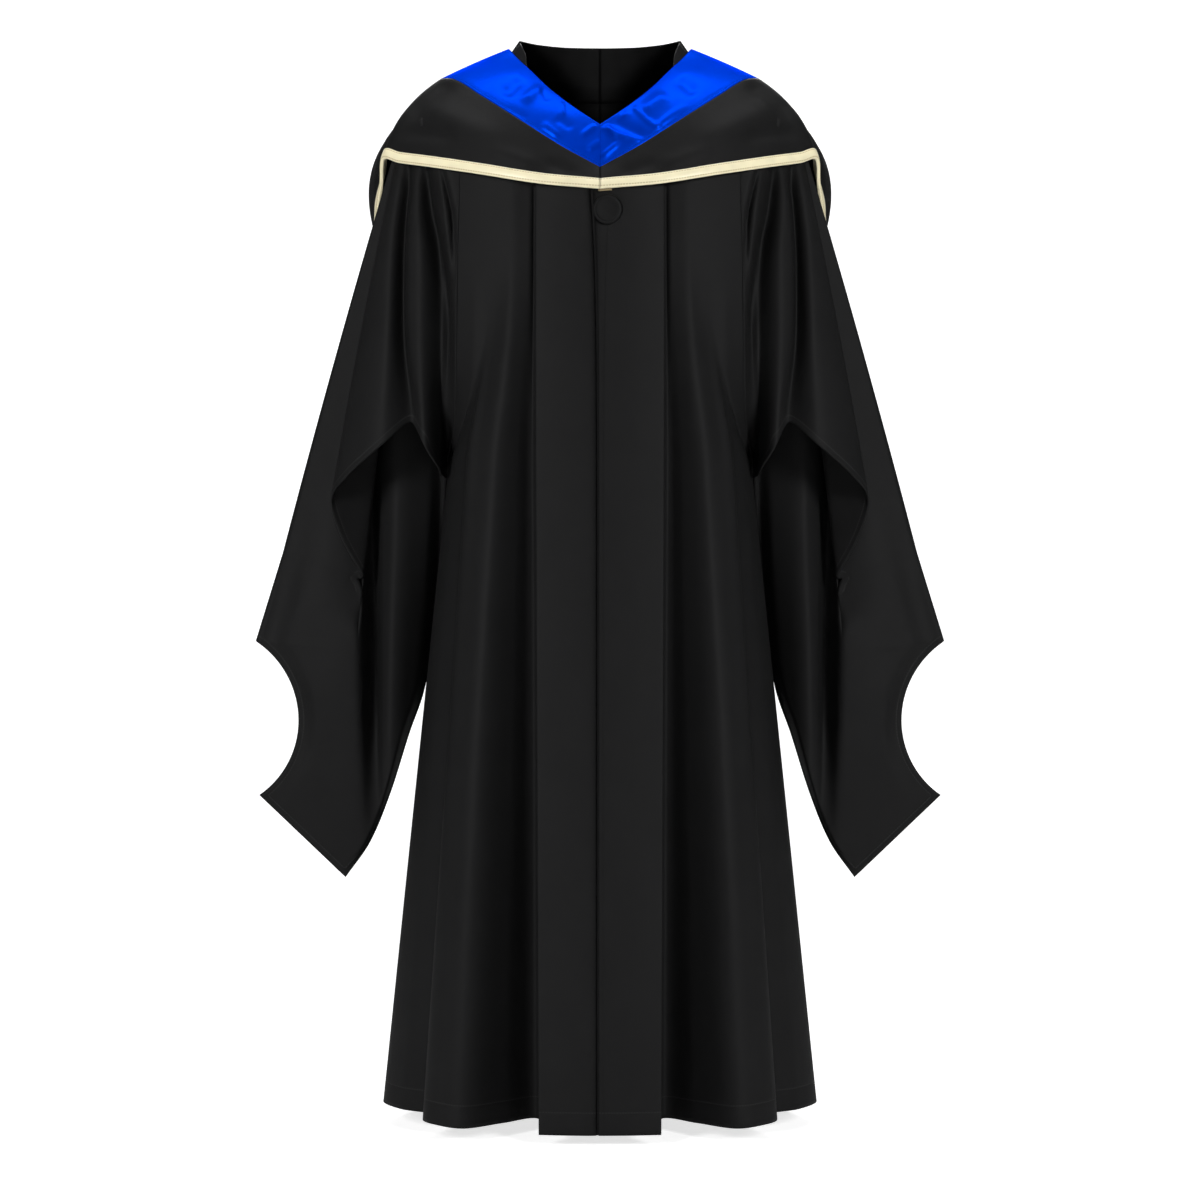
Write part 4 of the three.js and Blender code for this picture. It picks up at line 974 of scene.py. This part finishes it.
def sleeve_back(side):
    """The sleeve's back: straight from edge to edge, filled out by a root of a sine with a cosine's folds.

    The inner edge hangs 70 to 40 mm behind the middle, and joins its seam by the fifth power of the way."""
    upper_rows, lower_rows, columns = 90, 100, 80
    way = np.concatenate([mix(0.02, 1, steps(upper_rows)), 1 + steps(lower_rows)[1:]])[:, None]
    across = steps(columns)[None]
    outer, inner = sleeve_back_edges(way[:, 0])
    outer, inner = outer[:, None], inner[:, None]
    points = mix(outer, inner, across[..., None])
    hanging = mix(70, 40, ease(way, 0.5, 1.4))
    free = np.maximum(hanging, inner[..., 1])
    inner_y = mix(inner[..., 1], free, ease(way, 0.3, 0.6) * (1 - ease(way, 1.4, 1.8)))
    full = 26 * ease(way, 0, 0.6) * (1 - ease(way, 1, 2))
    fold = 6 * ease(way, 0.3, 1.1) * (1 - ease(way, 1.3, 2))
    belly = np.sin(math.pi * across) ** 0.8
    depth = mix(outer[..., 1], inner_y, across) + (inner[..., 1] - inner_y) * across**5
    points[..., 1] = depth + LAYER / 2 + belly * (full + fold * np.cos(4.4 * math.pi * across))
    return points, grid(points), flat_map(points)


SLEEVE_BACKS = both_halves("sleeve_back", sleeve_back, BLACK, BACKWARD)

# %% [markdown]
# Two straight bands run down the front, the wearer's left one on top. Each is folded over at its outer
# edge, and the fold goes back behind it as a deep pleat, which is why its edge stands up so sharply.

# %% Front bands
# How deep a band lies under the hood, its half width at the top and at the hem, how far in front it hangs at
# the hem, and how much its outer edge curls back. Then the crossing of the bands, and the width of the pleat
# and its depth.
BAND_DROP = 5.4
BAND_HALF_TOP, BAND_HALF_HEM = 68, 63
BAND_Y_HEM = -165
BAND_CROWN = 4
OVERLAP_TOP, OVERLAP_HEM, UNDERLAP = 8, 1.5, 10
RETURN_TOP, RETURN_HEM, RETURN_DEPTH_HEM = 14, 20, 24
BAND_WALL = CLOTH * 0.85
# Near the centre front the turn grows in step with x, up to this turn.
CHEST_TURN = 0.2
CHEST_WIDTH = -hood_line("edge", np.array(CHEST_TURN))[0]


def turn_at(x):
    """The turn round the hood at a distance x from the centre front."""
    return -x / CHEST_WIDTH * CHEST_TURN


def band_profile(overlap, dip, down, at):
    """x and y across a band: at runs from its inner edge (0) over its outer fold to the pleat's end (7)."""
    half = mix(BAND_HALF_TOP, BAND_HALF_HEM, down)
    back = mix(RETURN_TOP, RETURN_HEM, down)
    deep = mix(LAYER, RETURN_DEPTH_HEM, down)
    crossing = UNDERLAP if dip > 0 else overlap
    rows = [
        (crossing, dip), (-overlap - 1.5, dip), (-overlap - 6, 0), (-half * 0.55, BAND_CROWN * 0.3),
        (-half + 3, BAND_CROWN), (-half, BAND_CROWN + LAYER / 2), (-half + 3, BAND_CROWN + LAYER),
        (-half + back, BAND_CROWN + deep),
    ]
    return through(range(8), rows, at)


def front_band(dip):
    """A front band as a grid: rows from under the hood to the hem, columns across the profile.

    Below the hood each row is its hanging place, with the hood's own curve added by the sixth power of the
    height that is left."""
    first_across, hidden_rows, low_rows = 0.15, 30, 200
    edge = hood_line("edge", np.array(0.0))
    at = np.concatenate([np.linspace(0, 2, 9), np.linspace(2, 4, 17)[1:], np.linspace(4, 7, 25)[1:]])
    rows = []
    for across in np.linspace(first_across, 2, hidden_rows):
        profile = band_profile(OVERLAP_TOP, dip, 0, at)
        rows.append(under_hood(turn_at(profile[:, 0]), across, BAND_DROP + profile[:, 1]))
    for level in steps(low_rows)[1:]:
        profile = band_profile(mix(OVERLAP_HEM, OVERLAP_TOP, (1 - level) ** 12), dip, level, at)
        top = under_hood(turn_at(profile[:, 0]), np.array(2.0), BAND_DROP + profile[:, 1])
        z = mix(top[:, 2], HEM_FRONT - 1, level)
        y = mix(edge[1] + BAND_DROP, BAND_Y_HEM, level) + profile[:, 1]
        hanging = xyz(profile[:, 0], y, z)
        rows.append(mix(hanging, xyz(top[:, 0], top[:, 1], z), (1 - level) ** 6))
    points = np.stack(rows)
    return points, grid(points), flat_map(points)


def band_piece(name, dip, flip):
    """One band as a piece: dip sinks its inner edge under the other band, and flip -1 mirrors it."""
    points, faces, cut = front_band(dip)
    points = points.reshape(-1, 3) * np.array([flip, 1, 1])
    cut = cut.reshape(-1, 2)
    piece = cloth_piece(name + "_cloth", points, faces, cut, BLACK_HEM, FORWARD, BAND_WALL)
    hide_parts(name)
    print(piece.name, len(faces), "quads")
    return piece


BANDS = [band_piece("band_right", LAYER, 1), band_piece("band_left", 0, -1)]

# %% [markdown]
# The hood goes over everything. Its satin band is sewn to the black cape. Satin is stiff and light, so it
# buckles over the shoulders in short sharp creases, which are not alike on the two halves. The cape's are
# few, long and soft.

# %% The hood's band and cape
# Creases as the photograph shows them on each half: x0, z0, x1, z1, width, rise. The wearer's left half is
# written as its mirror image.
SATIN_CREASES = {
    -1: [(-84, -40, -61, -19, 6, 2.6), (-104, -32, -84, -8, 8, -2.8), (-39.5, -34, -40, -60, 3, 1.6),
         (-64, -23, -55, -39, 3.5, -1.2), (-63, -64, -42, -82, 4.5, 1.5), (-22, -81, 1, -63, 3.2, 1.8),
         (-28, -72, -48, -58, 5, -1.5), (-106, -46, -76, -63, 5, -2.1), (-170, -34, -144, -14, 9, -2.2),
         (-14, -96, 2, -84, 4, 1.3)],
    1: [(2, -68, -31, -83, 3.6, 2.2), (-22, -79, -48, -87, 3.6, 1.6), (-6, -64, -18, -84, 3, 1.6),
        (-23, -44, -29, -60, 4.5, 1.8), (-33, -42, -52, -64, 3, 1.5), (-44, -53, -73, -29, 7.5, 3.0),
        (-47, -60, -68, -74, 3.5, 1.5), (-52, -76, -93, -42, 4, 1.6), (0, -105, -21, -86, 3.2, 1.8),
        (-4, -57, -54, -83, 6, -2.2), (-104, -30, -84, -8, 8, -2.8), (-170, -34, -144, -14, 9, -2.2)],
}
CAPE_CREASES = [
    (-200, -30, -100, -92, 16, 3.6), (-222, -62, -150, -76, 9, -2.4), (-120, -92, -65, -114, 9, 2.2),
    (-150, 6, -212, -56, 13, -3.0), (-60, -108, -20, -124, 7, -1.6), (-240, -70, -205, -30, 8, 2.0),
]


def hood_band(side):
    """Half the satin band: the hood's surface, lifted along its normal by the creases of its own half.

    They fade towards the band's two edges and, round the neck, before the ridge."""
    columns, rows = 420, 44
    turn = steps(columns)
    across = mix(0, 1, steps(rows)[:, None])
    points = hood_surface(turn[None], across)
    rise = creases(SATIN_CREASES[side], points[..., 0], points[..., 2])
    rise = rise * ease(across, 0.02, 0.2) * (1 - ease(across, 0.85, 1)) * (1 - ease(turn, 0.42, 0.5))
    points = points + hood_normal(turn[None], across) * rise[..., None]
    return points, grid(points), flat_map(points)


def hood_cape(side):
    """Half the cape: the hood's surface below the satin's seam, lifted along its normal by its creases."""
    columns, rows, seam = 220, 50, 1.004
    turn = steps(columns)
    across = mix(seam, 2, steps(rows)[:, None])
    points = hood_surface(turn[None], across)
    rise = creases(CAPE_CREASES, points[..., 0], points[..., 2]) * (1 - ease(turn, 0.46, 0.52))
    rise = rise * ease(across, 1.0, 1.15) * (1 - ease(across, 1.8, 1.92))
    points = points + hood_normal(turn[None], across) * rise[..., None]
    return points, grid(points), flat_map(points)


def up_and_out(points):
    """The way the hood faces: away from the axis and up."""
    return unit(points * np.array([1, 1, 0])) + np.array([0, 0, 1])


HOOD_BANDS = both_halves("hood_band", hood_band, SATIN, up_and_out)
HOOD_CAPES = both_halves("hood_cape", hood_cape, BLACK, up_and_out)

# %% [markdown]
# A cream ribbon is folded over the cape's edge and sewn through. It is one strip with a rounded fold, so
# its profile is a short curve from the upper face round the edge to the lower face.

# %% The hood's ribbon
RIBBON_WIDTH, RIBBON_UNDER = 9.8, 15
RIBBON_LIFT = CLOTH / 2 + 1.1
RIBBON_WALL = 0.9
# Distance from the cape's edge, and height over the cape's middle layer.
RIBBON_PROFILE = [(RIBBON_WIDTH, RIBBON_LIFT - 0.2), (RIBBON_WIDTH * 0.5, RIBBON_LIFT + 0.15),
                  (1, RIBBON_LIFT), (-1, 0.8), (-1, -0.8), (1, -RIBBON_LIFT), (RIBBON_UNDER, -RIBBON_LIFT)]


def ribbon(side):
    """The folded ribbon as a grid: columns round the hood, rows over its face, round the edge and under.

    A row's place is 2 less its distance from the edge, over the cape's millimetres a unit of across."""
    columns, near_edge = 220, 1.9
    turn = steps(columns)
    profile = through(range(7), RIBBON_PROFILE, np.linspace(0, 6, 37))
    last = hood_surface(turn, 2) - hood_surface(turn, near_edge)
    length = np.linalg.norm(last, axis=-1) / (2 - near_edge)
    across = 2 - profile[:, :1] / length[None]
    points = hood_surface(turn[None], across) + hood_normal(turn[None], across) * profile[:, 1:, None]
    hem = np.stack([lengths(points, 1), lengths(points, 0)], axis=-1)
    return points, grid(points), flat_map(points), hem


def none(points):
    """No way to face: the ribbon is folded, and its faces stay as they are."""
    return np.zeros_like(points)


RIBBONS = both_halves("hood_ribbon", ribbon, RIBBON, none, RIBBON_WALL)

# %% [markdown]
# The button is a disc covered with the gown's cloth. Any round thing can be made on a lathe: a profile of
# radius and height is turned about an axis. The loop is a short strip that comes out under the ribbon.

# %% Button and loop
BUTTON_AT = (8.5, -124.9, -160.2)
BUTTON_SIDES = 72
DOME = [(0, 0), (13.8, 0), (14.9, 0.5), (15.6, 1.4), (15.8, 2.4), (15.5, 3.5), (14.8, 4.4), (14.0, 4.9),
        (13.2, 4.9), (12.6, 4.5), (11.9, 4.4), (9, 4.8), (5, 5.1), (0, 5.2)]


def lathe(name, profile, count, material):
    """A body of revolution about the -Y direction, from rows of radius and height."""
    angle = np.linspace(0, 2 * math.pi, count, endpoint=False)
    radius, height = np.array(profile, float).T
    x = radius[:, None] * np.cos(angle)
    z = radius[:, None] * np.sin(angle)
    points = xyz(BUTTON_AT[0] + x, BUTTON_AT[1] - height[:, None], BUTTON_AT[2] + z)
    index = np.arange(len(radius) * count).reshape(len(radius), count)
    index = np.concatenate([index, index[:, :1]], axis=1)
    faces = quads(index)
    flat = points.reshape(-1, 3)
    mesh = make_mesh(name, flat, faces, np.stack([flat[:, 0], flat[:, 2]], axis=-1))
    body = bmesh.new()
    body.from_mesh(mesh)
    bmesh.ops.remove_doubles(body, verts=body.verts, dist=0.000001)
    bmesh.ops.recalc_face_normals(body, faces=body.faces)
    body.to_mesh(mesh)
    body.free()
    mesh.materials.append(material)
    piece = bpy.data.objects.new(name, mesh)
    bpy.context.scene.collection.objects.link(piece)
    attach(piece, "root")
    return piece


BUTTON = lathe("button_cover", DOME, BUTTON_SIDES, COVERED)
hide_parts("button")

# The loop's two sides in x, its top and end across the hood, how deep it lies, and its wall.
LOOP_SIDES = (-2, 12)
LOOP_TOP, LOOP_END = 1.65, 2.09
LOOP_DROP, LOOP_WALL = 3.6, 0.8
loop_x = mix(LOOP_SIDES[0], LOOP_SIDES[1], steps(12))
loop_across = mix(LOOP_TOP, LOOP_END, steps(12)[:, None])
loop_points = under_hood(turn_at(loop_x[None]), loop_across, np.array(LOOP_DROP))
LOOP = cloth_piece("loop_strip", loop_points.reshape(-1, 3), grid(loop_points),
                   flat_map(loop_points).reshape(-1, 2), TAN, FORWARD, LOOP_WALL)
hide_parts("hood_loop")
print("button:", len(BUTTON.data.polygons), "faces, loop:", len(LOOP.data.polygons), "faces")

# %% [markdown]
# The gown stands before a pale paper sweep, a floor that curves up into a wall without an edge. The paper
# glows a little, for the camera only, so that it looks clean and white and its glow lights no cloth.

# %% Paper sweep
FLOOR_HEIGHT = -1.142
PAPER_GLOW = 0.7


def sweep():
    """A floor that curves up into a wall, as one smooth sheet: flat, a quarter circle, then upright."""
    near, bend, radius, top, half_width = -2.6, 2.4, 1.2, 7, 1.9
    quarter = np.linspace(0, math.pi / 2, 14)[1:]
    y = np.concatenate([np.linspace(near, bend, 12), bend + radius * np.sin(quarter), [bend + radius]])
    z = np.concatenate([np.zeros(12), radius - radius * np.cos(quarter), [top]])
    x = np.linspace(-half_width, half_width, 5)
    points = xyz(x[None], y[:, None], z[:, None] + FLOOR_HEIGHT) * 1000
    flat = points.reshape(-1, 3)
    mesh = make_mesh("floor", flat, grid(points)[:, ::-1], np.zeros((len(flat), 2)))
    paper = bpy.data.materials.new("paper")
    paper.use_nodes = True
    shader = paper.node_tree.nodes["Principled BSDF"]
    shader.inputs["Base Color"].default_value = (0.93, 0.93, 0.93, 1)
    shader.inputs["Roughness"].default_value = 0.9
    shader.inputs["Emission Color"].default_value = (1, 1, 1, 1)
    graph = Graph(paper.node_tree)
    seen = graph.node("ShaderNodeLightPath").outputs["Is Camera Ray"]
    paper.node_tree.links.new(graph.math("MULTIPLY", seen, PAPER_GLOW), shader.inputs["Emission Strength"])
    mesh.materials.append(paper)
    floor = bpy.data.objects.new("floor", mesh)
    bpy.context.scene.collection.objects.link(floor)
    return floor


FLOOR = sweep()
print("sweep:", len(FLOOR.data.polygons), "quads")

# %% [markdown]
# Two soft lamps stand in front, one on each side. Each lights its own half of the gown alone, by light
# linking, so the inner side of every fold stays dark on both halves, as in the photograph. One lamp above
# and one behind lift the shoulders and the back. The world is bright for the camera and nearly dark for the
# cloth, and the Standard view keeps the satin's blue as strong as it is.

# %% Lamps and world
WORLD_FOR_CLOTH, WORLD_FOR_CAMERA = 0.02, 1.0


def soft_lamp(name, place, aim, size, power):
    """A rectangular area lamp at place, looking at aim."""
    data = bpy.data.lights.new(name, "AREA")
    data.shape = "RECTANGLE"
    data.size, data.size_y = size
    data.energy = power
    lamp = bpy.data.objects.new(name, data)
    lamp.location = place
    towards = np.array(aim, float) - np.array(place, float)
    flat = math.hypot(towards[0], towards[1])
    lamp.rotation_euler = (math.atan2(flat, -towards[2]), 0, math.atan2(-towards[0], towards[1]))
    bpy.context.scene.collection.objects.link(lamp)
    return lamp


# Each lamp: name, place, aim, size in metres, power in watts.
LAMPS = [
    soft_lamp("left key", (-1.8, -2.95, 0.5), (0, 0, -0.65), (0.7, 0.9), 74),
    soft_lamp("right key", (1.8, -2.95, 0.5), (0, 0, -0.65), (0.7, 0.9), 74),
    soft_lamp("top", (0, 0.1, 2.2), (0, 0.0, -0.6), (2.6, 0.9), 52),
    soft_lamp("back", (0, 2.7, 1.7), (0, 0, -0.5), (1.8, 0.8), 50),
]


def lit_by(lamp, pieces):
    """The lamp lights these pieces alone."""
    lit = bpy.data.collections.new("lit by " + lamp.name)
    for piece in pieces:
        lit.objects.link(piece)
    lamp.light_linking.receiver_collection = lit


# Each pair holds the wearer's right half first, which is on the camera's left.
PAIRS = (FRONTS, YOKES, BACKS, SLEEVE_FRONTS, SLEEVE_BACKS, BANDS, HOOD_BANDS, HOOD_CAPES, RIBBONS)
lit_by(LAMPS[0], [pair[0] for pair in PAIRS] + [FLOOR, BUTTON])
lit_by(LAMPS[1], [pair[1] for pair in PAIRS] + [FLOOR, LOOP])
lit_by(LAMPS[3], [piece for pair in PAIRS for piece in pair])
bpy.context.scene.view_settings.view_transform = "Standard"
world = bpy.data.worlds.new("studio")
world.use_nodes = True
sky = Graph(world.node_tree)
seen = sky.node("ShaderNodeLightPath").outputs["Is Camera Ray"]
strengths = {"Value": seen, "To Min": WORLD_FOR_CLOTH, "To Max": WORLD_FOR_CAMERA}
strength = sky.node("ShaderNodeMapRange", strengths).outputs["Result"]
background = world.node_tree.nodes["Background"]
background.inputs["Color"].default_value = (1, 1, 1, 1)
world.node_tree.links.new(strength, background.inputs["Strength"])
bpy.context.scene.world = world
print("lamps:", [lamp.name for lamp in LAMPS])
